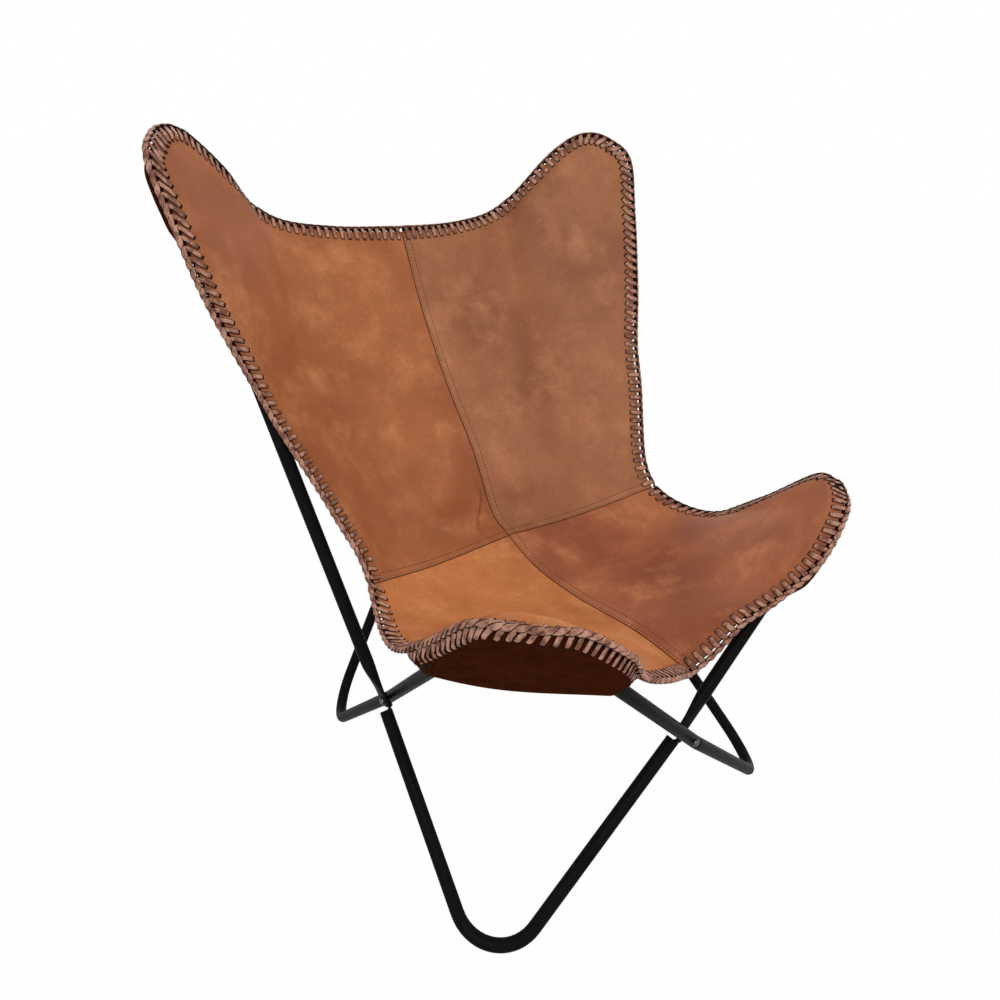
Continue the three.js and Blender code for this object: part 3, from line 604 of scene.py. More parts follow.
# Sling: its sizes, and then its edges as shares of the frame's, as the CAD has them
sling = {
    "leather": 0.003, "pocket": 0.0024, "rearRim": 0.031, "frontRim": 0.020, "rimLift": 0.002,
    "rearTipRadius": 0.055, "frontTipRadius": 0.040, "frontTipDroop": 0.007, "seamGap": 0.0003,
    "drapeMargin": 0.0022, "drapeWidth": 0.070, "rimFade": 0.018, "tipTurn": 0.030,
    # how far a rim rises with the tube under it: the share along the side edge and along the free edge
    "rearRaiseShares": {"right": (0.38, 0.80), "left": (0.80, 0.80)},
    "frontRaiseShares": {"right": (0.05, 0.05), "left": (0.44, 0.02)},
    "lapStep": 0.0009, "lapWidth": 0.015, "lapFade": 0.009, "stitchRows": (0.003, 0.0115),
    # the pinch at the stitch rows, then the painted highlight beside the laps' edges: its place and width
    "pinch": 0.0004, "pinchWidth": 0.0011, "highlightPlace": 0.0022, "highlightWidth": 0.0010,
    "rimWear": 0.6, "wearWidth": 0.016,
    "pocketTurn": 0.012, "frontMouthSkew": 1.35, "pocketEnds": 0.048, "pocketDrop": 0.0032, "belly": 0.0015,
    "pocketGap": 0.0006, "pocketColumns": 80, "pocketRows": 26, "pocketCrowding": 1.7,
}
sideEdgeShares = [
    (0, 0, 0), (0.095, 0.002, -0.105), (0.15, 0.115, -0.09), (0.222, 0.271, -0.050), (0.3, 0.431, 0.050),
    (0.39, 0.56, 0.137), (0.5, 0.645, 0.153), (0.65, 0.565, 0.050), (0.8, 0.34, -0.023), (0.95, 0.065, -0.045),
    (1, 0, 0),
]
centreLineShares = [
    (-0.072, 0.793), (0.02, 0.635), (0.14, 0.476), (0.257, 0.349), (0.351, 0.218), (0.415, 0.19),
    (0.518, 0.155), (0.665, 0.143), (0.855, 0.149), (0.995, 0.135),
]
sideSeamRow, centreSeamRow = 6, 5
topEdgeShares = [(0.319, 1.175, 0.798), (0.558, 1.195, 0.82), (0.712, 1.157, 0.873), (0.852, 1.095, 0.94)]
frontEdgeShares = [(0.22, 1.05, 0.192), (0.45, 1.08, 0.243), (0.63, 1.15, 0.324), (0.85, 1.115, 0.395)]
crossSeamShares = {"along": 0.53, "back": 0.05, "drop": 0.032}


class Edge:
    # a smooth line through given places, read by the share of its length
    spanSteps = 200

    def __init__(self, places):
        self.places = np.array(places, dtype=float)
        points, samples = self.places, []
        padded = np.vstack([2 * points[0] - points[1], points, 2 * points[-1] - points[-2]])
        steps = np.linspace(0, 1, self.spanSteps, endpoint=False)[:, None]
        for span in range(len(points) - 1):
            p0, p1, p2, p3 = padded[span:span + 4]
            d0, d1, d2 = (np.linalg.norm(b - a) ** 0.5 for a, b in ((p0, p1), (p1, p2), (p2, p3)))
            lead = ((p1 - p0) / d0 - (p2 - p0) / (d0 + d1) + (p2 - p1) / d1) * d1
            trail = ((p2 - p1) / d1 - (p3 - p1) / (d1 + d2) + (p3 - p2) / d2) * d1
            second, third = -3 * p1 + 3 * p2 - 2 * lead - trail, 2 * p1 - 2 * p2 + lead + trail
            samples.append(p1 + lead * steps + second * steps ** 2 + third * steps ** 3)
        self.samples = np.vstack([*samples, points[-1:]])
        gaps = np.linalg.norm(np.diff(self.samples, axis=0), axis=1)
        self.lengths = np.concatenate([[0], np.cumsum(gaps)])
        self.length = self.lengths[-1]

    def at(self, shares):
        places = np.asarray(shares, dtype=float) * self.length
        return np.stack([np.interp(places, self.lengths, self.samples[:, axis]) for axis in range(3)], axis=-1)

    def shareOf(self, row):
        return self.lengths[row * self.spanSteps] / self.length


def wingOf(end):
    apex, sideMiddle, endMiddle = wings[f"{end}_left"], crossings["left"]["middle"], crossings[end]["middle"]
    arc = cornerArc(sideMiddle, apex, endMiddle, rods["wingBend"])
    sitterWay = arc["spoke"].cross(arc["heading"])
    sitterWay *= math.copysign(1, sitterWay.z)
    bendTip = arc["centre"] - arc["inward"] * rods["wingBend"]
    tip = bendTip - arc["inward"] * sling[f"{end}Rim"] + sitterWay * sling["rimLift"]
    places = {"apex": apex, "sitterWay": sitterWay, "bendTip": bendTip, "tip": tip, "inward": arc["inward"]}
    return {
        **{name: np.array(place) for name, place in places.items()},
        "raiseShares": sling[f"{end}RaiseShares"],
        "ends": np.array([sideMiddle, endMiddle]), "halfAngle": (math.pi - arc["turn"]) / 2,
    }


rearWing, frontWing = wingOf("rear"), wingOf("front")
rearTip, frontTip = rearWing["tip"], frontWing["tip"]
lowLevel = rods["frontCrossing"][2]
slingRise = rearTip[2] - lowLevel
sideSag = (rearTip[2] + frontTip[2]) / 2 - rods["sideCrossing"][2]
drapeHeight = tubeRadius + sling["leather"] + sling["drapeMargin"]


def unit(vectors, shortest=1e-9):
    return vectors / np.maximum(np.linalg.norm(vectors, axis=-1, keepdims=True), shortest)


def hill(values):
    return np.exp(-values ** 2)


def roundedTip(tip, sidePlace, acrossPlace, radius):
    # a round corner in place of a tip: five places, from the across edge round its crown to the side edge
    sideWay, acrossWay = unit(sidePlace - tip), unit(acrossPlace - tip)
    inward, lateral = unit(sideWay + acrossWay), unit(sideWay - acrossWay)
    half = math.acos(np.clip(sideWay @ acrossWay, -1, 1)) / 2
    centre = tip + inward * radius / math.sin(half)
    angles = np.linspace(-1, 1, 5) * (math.pi / 2 - half)
    return [centre + radius * (lateral * math.sin(angle) - inward * math.cos(angle)) for angle in angles]


sidePlaces = [lerp(rearTip, frontTip, along) - np.array([inset * rearTip[0], 0, drop * sideSag])
              for along, drop, inset in sideEdgeShares]
centreLine = Edge([(0, lerp(rearTip[1], frontTip[1], along), lowLevel + rise * slingRise)
                   for along, rise in centreLineShares])


def acrossPlaces(shares, tip):
    scale, start = np.array([tip[0], tip[1], slingRise]), np.array([0, 0, lowLevel])
    return [start + place * scale for place in np.array(shares)]


topPlaces, frontPlaces = acrossPlaces(topEdgeShares, rearTip), acrossPlaces(frontEdgeShares, frontTip)
rearCrown = roundedTip(rearTip, sidePlaces[1], topPlaces[-1], sling["rearTipRadius"])
frontDroop = frontWing["sitterWay"] * sling["frontTipDroop"]
frontCrown = roundedTip(frontTip - frontDroop, sidePlaces[-2], frontPlaces[-1], sling["frontTipRadius"])
sideEdge = Edge([*rearCrown[2:], *sidePlaces[1:-1], *frontCrown[:1:-1]])
topEdge = Edge([centreLine.places[0], *topPlaces, *rearCrown[:3]])
frontEdge = Edge([centreLine.places[-1], *frontPlaces, *frontCrown[:3]])
sideShare, centreShare = sideEdge.shareOf(sideSeamRow + 2), centreLine.shareOf(centreSeamRow)
centreSeam, sideSeam = centreLine.at(centreShare), sideEdge.at(sideShare)
seamMiddle = lerp(centreSeam, sideSeam, crossSeamShares["along"])
seamMiddle += [0, crossSeamShares["back"] * rearTip[1], -crossSeamShares["drop"] * sideSag]
crossSeam = Edge([centreSeam, seamMiddle, sideSeam])


def patch(low, high, centre, side, across, along):
    # a surface between four edges; across runs from the centre line to the side edge
    a, b = across[..., None], along[..., None]
    zero, one = np.zeros(1), np.ones(1)
    return (low(across) * (1 - b) + high(across) * b + centre(along) * (1 - a) + side(along) * a
            - low(zero) * (1 - a) * (1 - b) - low(one) * a * (1 - b)
            - high(zero) * (1 - a) * b - high(one) * a * b)


def between(edge, first, last):
    return lambda share: edge.at(lerp(first, last, share))


seatEdges = (frontEdge.at, crossSeam.at, between(centreLine, 1, centreShare), between(sideEdge, 1, sideShare))
backEdges = (crossSeam.at, topEdge.at, between(centreLine, centreShare, 0), between(sideEdge, sideShare, 0))

# Where a row's columns lie: close together by the centre seam and by the rim, in metres from each
grid = {
    "bySeam": (0, 0.001, 0.002, 0.003, 0.004, 0.006, 0.0085, 0.0103, 0.0115, 0.0127, 0.015, 0.018, 0.024),
    "byRim": (0.018, 0.014, 0.011, 0.008, 0.0055, 0.0035, 0.0015, 0),
    "middle": 62, "seatRows": 66, "backRows": 116, "seatLength": 0.36, "backLength": 0.66, "coarse": 60,
}


def clustered(lengths, middleCount, first, last):
    # shares of each length: the first places from its start, an even middle, the last from its end
    lengths = np.asarray(lengths)[:, None]
    start, end = np.array(first) / lengths, 1 - np.array(last) / lengths
    steps = np.linspace(0, 1, middleCount + 2)[1:-1]
    middle = lerp(start[:, -1:], end[:, :1], steps)
    return np.concatenate([start, middle, end], axis=1)


def arcAlong(points, axis):
    gaps = np.linalg.norm(np.diff(points, axis=axis), axis=-1)
    start = np.zeros_like(np.take(gaps, [0], axis=axis))
    return np.concatenate([start, np.cumsum(gaps, axis=axis)], axis=axis)


def panelGrid(edges, alongShares):
    rows = patch(*edges, *np.meshgrid(np.linspace(0, 1, grid["coarse"]), alongShares))
    lengths = arcAlong(rows, 1)[:, -1]
    across = clustered(lengths, grid["middle"], grid["bySeam"], grid["byRim"])
    along = np.repeat(alongShares[:, None], across.shape[1], axis=1)
    return patch(*edges, across, along)


def heightOver(wing, points):
    return (points - wing["bendTip"]) @ wing["sitterWay"]


def drapeAt(wing, points):
    # how far leather is held off the plane of a wing's tube: between the legs and just beside them
    flat = points - heightOver(wing, points)[..., None] * wing["sitterWay"]
    fromApex = flat - wing["apex"]
    angle = np.arccos(np.clip(unit(fromApex) @ wing["inward"], -1, 1))
    gaps = []
    for end in wing["ends"]:
        leg = end - wing["apex"]
        share = np.clip((fromApex @ leg) / (leg @ leg), 0, 1)[..., None]
        gaps.append(np.linalg.norm(fromApex - share * leg, axis=-1))
    beside = 1 - smoothstep(np.minimum(*gaps), sling["drapeWidth"] / 2, sling["drapeWidth"])
    return drapeHeight * np.where(angle < wing["halfAngle"], 1, beside)


def offMiddle(points):
    # the middle line stays put, so that the two halves meet
    return np.minimum(np.abs(points[..., 0]) / sling["drapeWidth"], 1)


def overTubes(points, fromRimShare, sideEdgeShare, side):
    for wing in (rearWing, frontWing):
        sideRaise, freeRaise = wing["raiseShares"][side]
        rimShare = lerp(lerp(freeRaise, sideRaise, sideEdgeShare), 1, fromRimShare)
        hold = drapeAt(wing, points)
        shortfall = np.where(hold > 0, np.maximum(hold - heightOver(wing, points), 0), 0)
        lift = (shortfall * rimShare)[..., None] * wing["sitterWay"]
        lift[..., 0] *= offMiddle(points)
        points = points + lift
    return points


def gridNormals(points):
    return unit(np.cross(np.gradient(points, axis=1), np.gradient(points, axis=0)))


seatShares = clustered([grid["seatLength"]], grid["seatRows"], grid["byRim"][::-1], grid["bySeam"][::-1])[0]
backShares = clustered([grid["backLength"]], grid["backRows"], grid["bySeam"], grid["byRim"])[0]
seatGrid, backGrid = panelGrid(seatEdges, seatShares), panelGrid(backEdges, backShares)
seamRow = len(seatGrid) - 1
halfGrid = np.concatenate([seatGrid, backGrid[1:]])
fromCentre, alongArc = arcAlong(halfGrid, 1), arcAlong(halfGrid, 0)
fromSeam = alongArc - alongArc[seamRow]
fromSide, fromFree = fromCentre[:, -1:] - fromCentre, np.minimum(alongArc, alongArc[-1:] - alongArc)
fromRim = np.minimum(fromSide, fromFree)
sideShares = smoothstep(fromFree - fromSide, -sling["tipTurn"], sling["tipTurn"])
print("sling ready", halfGrid.shape)

# Soft shapes on each half: fields of height, by distance from the centre line and the cross seam
softness = {
    "right": {
        "hollows": [((0.085, 0.048), (0.042, 0.026), -0.0100), ((0.030, 0.078), (0.022, 0.030), 0.0060)],
        "creases": [((0.012, 0.074), (0.038, 0.030), 0.0075, 0.0085)],
    },
    "left": {
        "hollows": [((0.040, 0.045), (0.026, 0.030), -0.0080), ((0.110, 0.080), (0.050, 0.045), 0.0035)],
        "creases": [],
    },
    # painted shade in the hollows and its fade in from the cross seam, then the creases' reach and gain
    "paintedHollowShade": 0.34, "paintedHollowShadeFade": (0.012, 0.020), "creaseReachShare": 0.55, "creaseGain": 1.6,
    "waves": [(9.0, 4.0, 0.4, 0.0012), (5.0, 11.0, 2.1, 0.0011), (17.0, 13.0, 4.4, 0.0005)],
    "waveTurn": {"right": 0, "left": 1.3}, "calmSeam": (0, 0.02), "calmRim": (0.01, 0.05),
}


def spot(middle, reach):
    return hill((fromCentre - middle[0]) / reach[0]) * hill((fromSeam - middle[1]) / reach[1])


def softHeights(side):
    heights = sum(depth * spot(middle, reach) for middle, reach, depth in softness[side]["hollows"])
    for start, end, width, depth in softness[side]["creases"]:
        length = math.dist(start, end)
        way = (np.array(end) - start) / length
        offset = np.stack([fromCentre, fromSeam], axis=-1) - start
        fade = np.exp(-((offset @ way / length - 0.5) / softness["creaseReachShare"]) ** 4)
        aside = (offset @ np.array([-way[1], way[0]])) / width
        heights += depth * fade * (softness["creaseGain"] * aside) * hill(aside)
    turn = softness["waveTurn"][side]
    for acrossRate, alongRate, phase, depth in softness["waves"]:
        across = np.sin(acrossRate * 2 * fromCentre + phase + turn)
        heights += depth * across * np.sin(alongRate * 2 * fromSeam + phase + turn)
    calm = smoothstep(fromCentre, *softness["calmSeam"]) * smoothstep(np.abs(fromSeam), *softness["calmSeam"])
    return heights * calm * smoothstep(fromRim, *softness["calmRim"])


def lapHeights(side):
    # the back lies over the seat at the cross seam, and the left half over the right at the centre
    laps = [(fromSeam, fromSeam >= 0)] + [(fromCentre, True)] * (side == "left")
    heights = np.zeros(fromCentre.shape)
    for away, isOver in laps:
        edge = sling["lapWidth"]
        heights += isOver * (1 - smoothstep(away, edge, edge + sling["lapFade"])) * sling["lapStep"]
        for row in sling["stitchRows"]:
            heights -= isOver * hill((away - row) / sling["pinchWidth"]) * sling["pinch"]
    return heights


def seamShades(side):
    # above 0 darkens: painted shade in seam grooves and hollows, and rim wear; below 0, painted highlight on
    # lap edges
    shades = hill(fromSeam / sling["pinchWidth"]) + hill(fromCentre / sling["pinchWidth"])
    shades += sling["rimWear"] * hill(fromRim / sling["wearWidth"])
    # a painted highlight along the laps' cut edges
    for away in (fromSeam, fromCentre) if side == "left" else (fromSeam,):
        shades -= hill((away - sling["highlightPlace"]) / sling["highlightWidth"])
    # painted shade in the sunken hollows, faded in from the cross seam
    hollows = [spot(middle, reach) for middle, reach, depth in softness[side]["hollows"] if depth < 0]
    shades += softness["paintedHollowShade"] * sum(hollows) * smoothstep(fromSeam, *softness["paintedHollowShadeFade"])
    return np.clip(shades, -1, 1)


def gridFaces(rowCount, columnCount, isTurned):
    corner = (np.arange(rowCount - 1)[:, None] * columnCount + np.arange(columnCount - 1)).ravel()
    order = (0, columnCount, columnCount + 1, 1) if isTurned else (0, 1, columnCount + 1, columnCount)
    return np.stack([corner + step for step in order], axis=1)


def sheetPiece(node, points, isTurned, thickness, materials, shades=None):
    # a grid given its thickness; a panel, which has shades, is cut straight at the centre seam
    obj = meshPiece(f"sling_{node}", points.reshape(-1, 3), gridFaces(*points.shape[:2], isTurned), materials)
    if shades is not None:
        layer = obj.data.attributes.new("seamShade", "FLOAT", "POINT")
        layer.data.foreach_set("value", shades.ravel().astype(np.float32))
    activeOnly(obj)
    inner = len(materials) - 1
    modified(obj, "SOLIDIFY", thickness=thickness, offset=-1, material_offset=inner, material_offset_rim=inner)
    if shades is not None:
        rows, columns = points.shape[:2]
        for row in range(rows):
            upper, under = (obj.data.vertices[row * columns + step] for step in (0, rows * columns))
            under.co.x = upper.co.x
    return finished(obj, obj.name, node, smoothAngle=50)


# Where hand cutting left the two sides a little unlike: place, reach, how far it is moved,
# and whether that is along the wing's tube and not through it
fuller = {
    "right": (
        (rearCrown[2], 0.17, (0.014, 0, -0.009), True), (sideEdge.at(0.20), 0.06, (0.002, 0, 0), True),
        (sideEdge.at(0.31), 0.06, (-0.006, 0, 0), True), (sideEdge.at(0.60), 0.04, (-0.006, 0, 0), False),
        (frontEdge.at(0.25), 0.07, (0, -0.002, -0.004), False),
    ),
    "left": (
        (rearCrown[2], 0.17, (0.002, 0, 0.017), True), (sideEdge.at(0.26), 0.06, (-0.003, 0, 0), True),
        (sideEdge.at(0.48), 0.08, (0.014, 0, 0), True), (frontCrown[2], 0.12, (0.008, 0, -0.017), True),
        (frontEdge.at(0.62), 0.08, (0.002, -0.004, -0.010), True),
        (frontEdge.at(0.20), 0.05, (0, 0.004, 0.012), False),
    ),
}


def spread(points, side):
    moved = points
    for place, reach, move, isFlat in fuller[side]:
        fade = hill(np.linalg.norm(points - place, axis=-1) / reach) * offMiddle(points)
        wing = rearWing if place[1] > 0 else frontWing
        move = np.array(move)
        if isFlat:
            move = move - (move @ wing["sitterWay"]) * wing["sitterWay"]
        moved = moved + fade[..., None] * move
    return moved


def placed(points, side):
    return points * [sideSigns[side], 1, 1] + np.array(chairShift)


panelSpans = {"back_panel": slice(seamRow, len(halfGrid)), "seat_panel": slice(0, seamRow + 1)}
panelEnds = {"back_panel": "rear", "seat_panel": "front"}
surfaces = {}
for side, sign in sideSigns.items():
    heldGrid = overTubes(halfGrid, smoothstep(fromRim, 0, sling["rimFade"]), sideShares, side)
    halfNormals = gridNormals(heldGrid)
    surface = spread(heldGrid, side) + halfNormals * softHeights(side)[..., None]
    laps, shades = lapHeights(side), seamShades(side)
    for part, span in panelSpans.items():
        heights = laps[span].copy()
        if part == "seat_panel":
            heights[-1] = laps[seamRow - 1]
        points = surface[span] + halfNormals[span] * heights[..., None]
        points[:, 0, 0] = sling["seamGap"] / 2
        seamEdge, inward = (0, 1) if part == "back_panel" else (-1, -2)
        points[seamEdge] += unit(points[inward] - points[seamEdge]) * sling["seamGap"] / 2
        points = surfaces[(part, side)] = placed(points, side)
        node = f"{part}_{side}"
        both = [leathers[node], suedeMaterial]
        obj = sheetPiece(node, points, sign < 0, sling["leather"], both, shades[span])
    print("panels ready", side)


# Pockets: the leather under each wing, laced to the rim round the tip and open at its mouth
def pocketGrid(side, wing, firstEdge, firstEnd, secondEdge, secondEnd, length, mouthSag, inset):
    near = np.linspace(0, 1, sling["pocketColumns"] // 2 + 1)[::-1]
    firstShares = near * length / firstEdge.length
    secondShares = near[::-1][1:] * length / secondEdge.length
    first = firstEdge.at(firstShares if firstEnd == 0 else 1 - firstShares)
    second = secondEdge.at(secondShares if secondEnd == 0 else 1 - secondShares)
    fromTip = np.concatenate([near, -near[::-1][1:]]) * length * (1 if firstEdge is sideEdge else -1)
    alongSide = smoothstep(fromTip, -sling["tipTurn"], sling["tipTurn"])
    rim = overTubes(np.concatenate([first, second]), 0, alongSide, side)
    run = np.linspace(0, 1, len(rim))[:, None]
    sag = mouthSag * np.sin(math.pi * run ** (1 if firstEdge is sideEdge else sling["frontMouthSkew"]))
    mouth = lerp(rim[0], rim[-1], run) + wing["inward"] * sag
    rows = (np.linspace(0, 1, sling["pocketRows"] + 1) ** sling["pocketCrowding"])[:, None, None]
    line = lerp(rim, mouth, rows) + unit(mouth - rim) * inset * (1 - rows)
    depth = np.linalg.norm(line - rim, axis=-1)
    ends = np.minimum(np.arange(len(rim)), np.arange(len(rim))[::-1]) * length * 2 / len(rim)
    held = smoothstep(depth, 0, sling["pocketTurn"]) * smoothstep(ends, 0, sling["pocketEnds"])
    start = heightOver(wing, rim) - sling["leather"] - sling["pocketGap"]
    belly = -(tubeRadius + sling["pocketDrop"]) - sling["belly"] * np.sin(math.pi * run[:, 0]) * rows[:, :, 0]
    height = lerp(start[None, :], belly, held)
    return line + (height - heightOver(wing, line))[..., None] * wing["sitterWay"]


# Each wing's two edges with the end of each at the tip, the pocket's length along them, its mouth's sag
# and its rim's inset
pocketRims = {
    "rear": (rearWing, sideEdge, 0, topEdge, 1, 0.175, 0.032, 0.008),
    "front": (frontWing, frontEdge, 1, sideEdge, 1, 0.205, 0.036, 0.002),
}
pockets = {}
for end, rim in pocketRims.items():
    for side, sign in sideSigns.items():
        points = pockets[(end, side)] = placed(spread(pocketGrid(side, *rim), side), side)
        node = f"corner_pocket_{end}_{side}"
        obj = sheetPiece(node, points, sign > 0, sling["pocket"], [suedeMaterial])
print("pockets ready")

# Lacing: flat straps through slits on both faces, and a plait of leaves round the rim
lacing = {
    "pitch": {"right": 0.0112, "left": 0.0128}, "barWidth": {"right": 0.0050, "left": 0.0062},
    "coreOut": 0.0045, "coreRadius": 0.0020, "coreSides": 8, "smoothing": 6, "evenSteps": 4, "innerColumn": 4,
    # the bars' lean, by distance from the wing's tip
    "slantPlaces": (-0.06, 0.05, 0.22, 0.42), "slantShares": (0.06, 1.15, 0.80, 0.05),
    # two rows of leaves: the angles that each leaf runs between round the rim, its width and its radius
    "leaves": ((62, -30, 0.0062, 0.0041), (-42, 52, 0.0044, 0.0031)), "leafThickness": 0.0013,
    "leafRunShare": 0.72, "leafRise": 0.0008, "leafTuck": 0.0022, "leafSteps": 7,
    "leafPointShare": 0.22, "leafFullness": 0.8, "leafEndShare": 0.06,
    # where the plait was pulled up on to the leather
    "rollRise": 0.0030, "rollOut": 0.0015, "rollReachShare": 0.28, "rollFade": (0.150, 0.190),
    "outline": 0.0016, "outlineDrop": 0.0005, "outlineThickness": 0.0004,
    "slitReachShare": 1.1, "slitRise": 0.0003,
    # a bar's places on the leather: their shares of the reach from the rim, and how high they stand
    "reach": 0.0118, "slitNarrowing": 0.0008, "barThickness": 0.0012, "middleShare": 0.5, "endLeanShare": -0.6,
    "barShares": (1, 0.95, 0.78, 0.56, 0.34, 0.10),
    "barRises": (-0.0012, 0.0006, 0.0011, 0.0012, 0.0013, 0.0015),
    # its last two places, under the plait: rise, step out, share of the lean, and how far it faces up and out
    "barEnds": ((0.0032, -0.0010, 1, 1, 0.2), (0.0012, 0.0028, 1.3, 0.3, 1)), "wideBars": (2, 7),
    "pocketInShare": 0.3, "pocketDownShare": 0.95,
}
strapSection = np.array(((-0.5, 0), (-0.32, 0.5), (0.32, 0.5), (0.5, 0), (0.32, -0.5), (-0.32, -0.5)))


def ringFaces(count, sides):
    # a closed skin round count rings, with a cap at each end
    faces = []
    for ring in range(count - 1):
        for corner in range(sides):
            low, beside = ring * sides + corner, ring * sides + (corner + 1) % sides
            faces.append((low, beside, beside + sides, low + sides))
    return [*faces, tuple(reversed(range(sides))), tuple(range((count - 1) * sides, count * sides))]


def strap(points, ups, widths, thickness):
    # a flat strap along points; each up is square to its face there
    points, ups = np.array(points), unit(np.array(ups))
    ways = unit(np.gradient(points, axis=0))
    sideways = unit(np.cross(ways, ups))
    faceUps = np.cross(sideways, ways)
    reaches, rises = strapSection.T[..., None]
    rings = points[:, None] + sideways[:, None] * reaches * np.reshape(widths, (-1, 1, 1))
    rings = rings + faceUps[:, None] * rises * thickness
    return rings.reshape(-1, 3), ringFaces(len(points), len(strapSection))


def skinsPiece(name, node, skins, materials, smoothAngle):
    # one piece from many skins: each is its points, its faces and its material's place in the list
    verts, faces, slots = [], [], []
    for skinVerts, skinFaces, slot in skins:
        faces.extend(tuple(len(verts) + index for index in face) for face in skinFaces)
        verts.extend(skinVerts)
        slots.extend([slot] * len(skinFaces))
    obj = meshPiece(name, verts, faces, materials, slots)
    activeOnly(obj)
    faceOutwards()
    finished(obj, name, node, smoothAngle=smoothAngle)


def rimPolyline(points, part, column=0):
    # from the centre line along the free edge to the tip, then along the side edge to the cross seam
    if part == "seat_panel":
        points = points[::-1]
    return np.concatenate([points[-1 - column], points[:-1, -1 - column][::-1]])


def resampled(line, tables, pitch):
    lengths = arcAlong(line, 0)
    count = max(int(round(lengths[-1] / pitch)), 2)
    places = (np.arange(count) + 0.5) * lengths[-1] / count
    pick = lambda table: np.stack([np.interp(places, lengths, table[:, axis]) for axis in range(3)], axis=1)
    return [pick(table) for table in (line, *tables)]


def squareTo(ways, vectors):
    return unit(vectors - ways * np.sum(vectors * ways, axis=1)[:, None])


def treeOf(points, isTurned):
    faces = gridFaces(*points.shape[:2], isTurned).tolist()
    return BVHTree.FromPolygons([tuple(point) for point in points.reshape(-1, 3)], faces)


def leafPath(place, way, out, up, leaf, pitch):
    # a leaf of the plait: its head lies over the next one's tail
    startAngle, endAngle, leafWidth, crown = leaf
    shares = np.linspace(0, 1, lacing["leafSteps"])
    angles = np.radians(lerp(startAngle, endAngle, shares))[:, None]
    bulges = crown + lacing["leafRise"] * np.sin(math.pi * shares) - lacing["leafTuck"] * shares
    radials = out * np.cos(angles) + up * np.sin(angles)
    run = way * lerp(-1, 1, shares)[:, None] * lacing["leafRunShare"] * pitch
    inner = np.clip(shares, lacing["leafEndShare"], 1 - lacing["leafEndShare"])
    widths = leafWidth * lerp(lacing["leafPointShare"], 1, np.sin(math.pi * inner) ** lacing["leafFullness"])
    return place + radials * bulges[:, None] + run, radials, widths


def barPath(place, rim, way, out, up, face, slant, reach, trees):
    # a bar from a slit in one face, slanting over the rim to the plait
    panelTree, pocketTree = trees
    tree, path, barUps = pocketTree or panelTree, [], []
    for share, lift in zip(lacing["barShares"], lacing["barRises"]):
        step = share * reach
        target = rim + way * face * (share - lacing["middleShare"]) * slant
        if pocketTree:      # down the pocket's side
            target = target - out * step * lacing["pocketInShare"]
            target = target - up * (sling["leather"] + step * lacing["pocketDownShare"])
        else:
            target = target - out * step + up * sling["leather"] / 2
        found, normal = (np.array(part) for part in tree.find_nearest(tuple(target))[:2])
        if face < 0 and not pocketTree:
            found, normal = found - normal * sling["leather"], -normal
        path.append(found + normal * lift)
        barUps.append(normal)
    lean = way * face * lacing["endLeanShare"] * slant
    for rise, outStep, leanShare, upShare, outShare in lacing["barEnds"]:
        path.append(place + up * face * rise + out * outStep + lean * leanShare)
        barUps.append(up * face * upShare + out * outShare)
    return path, barUps


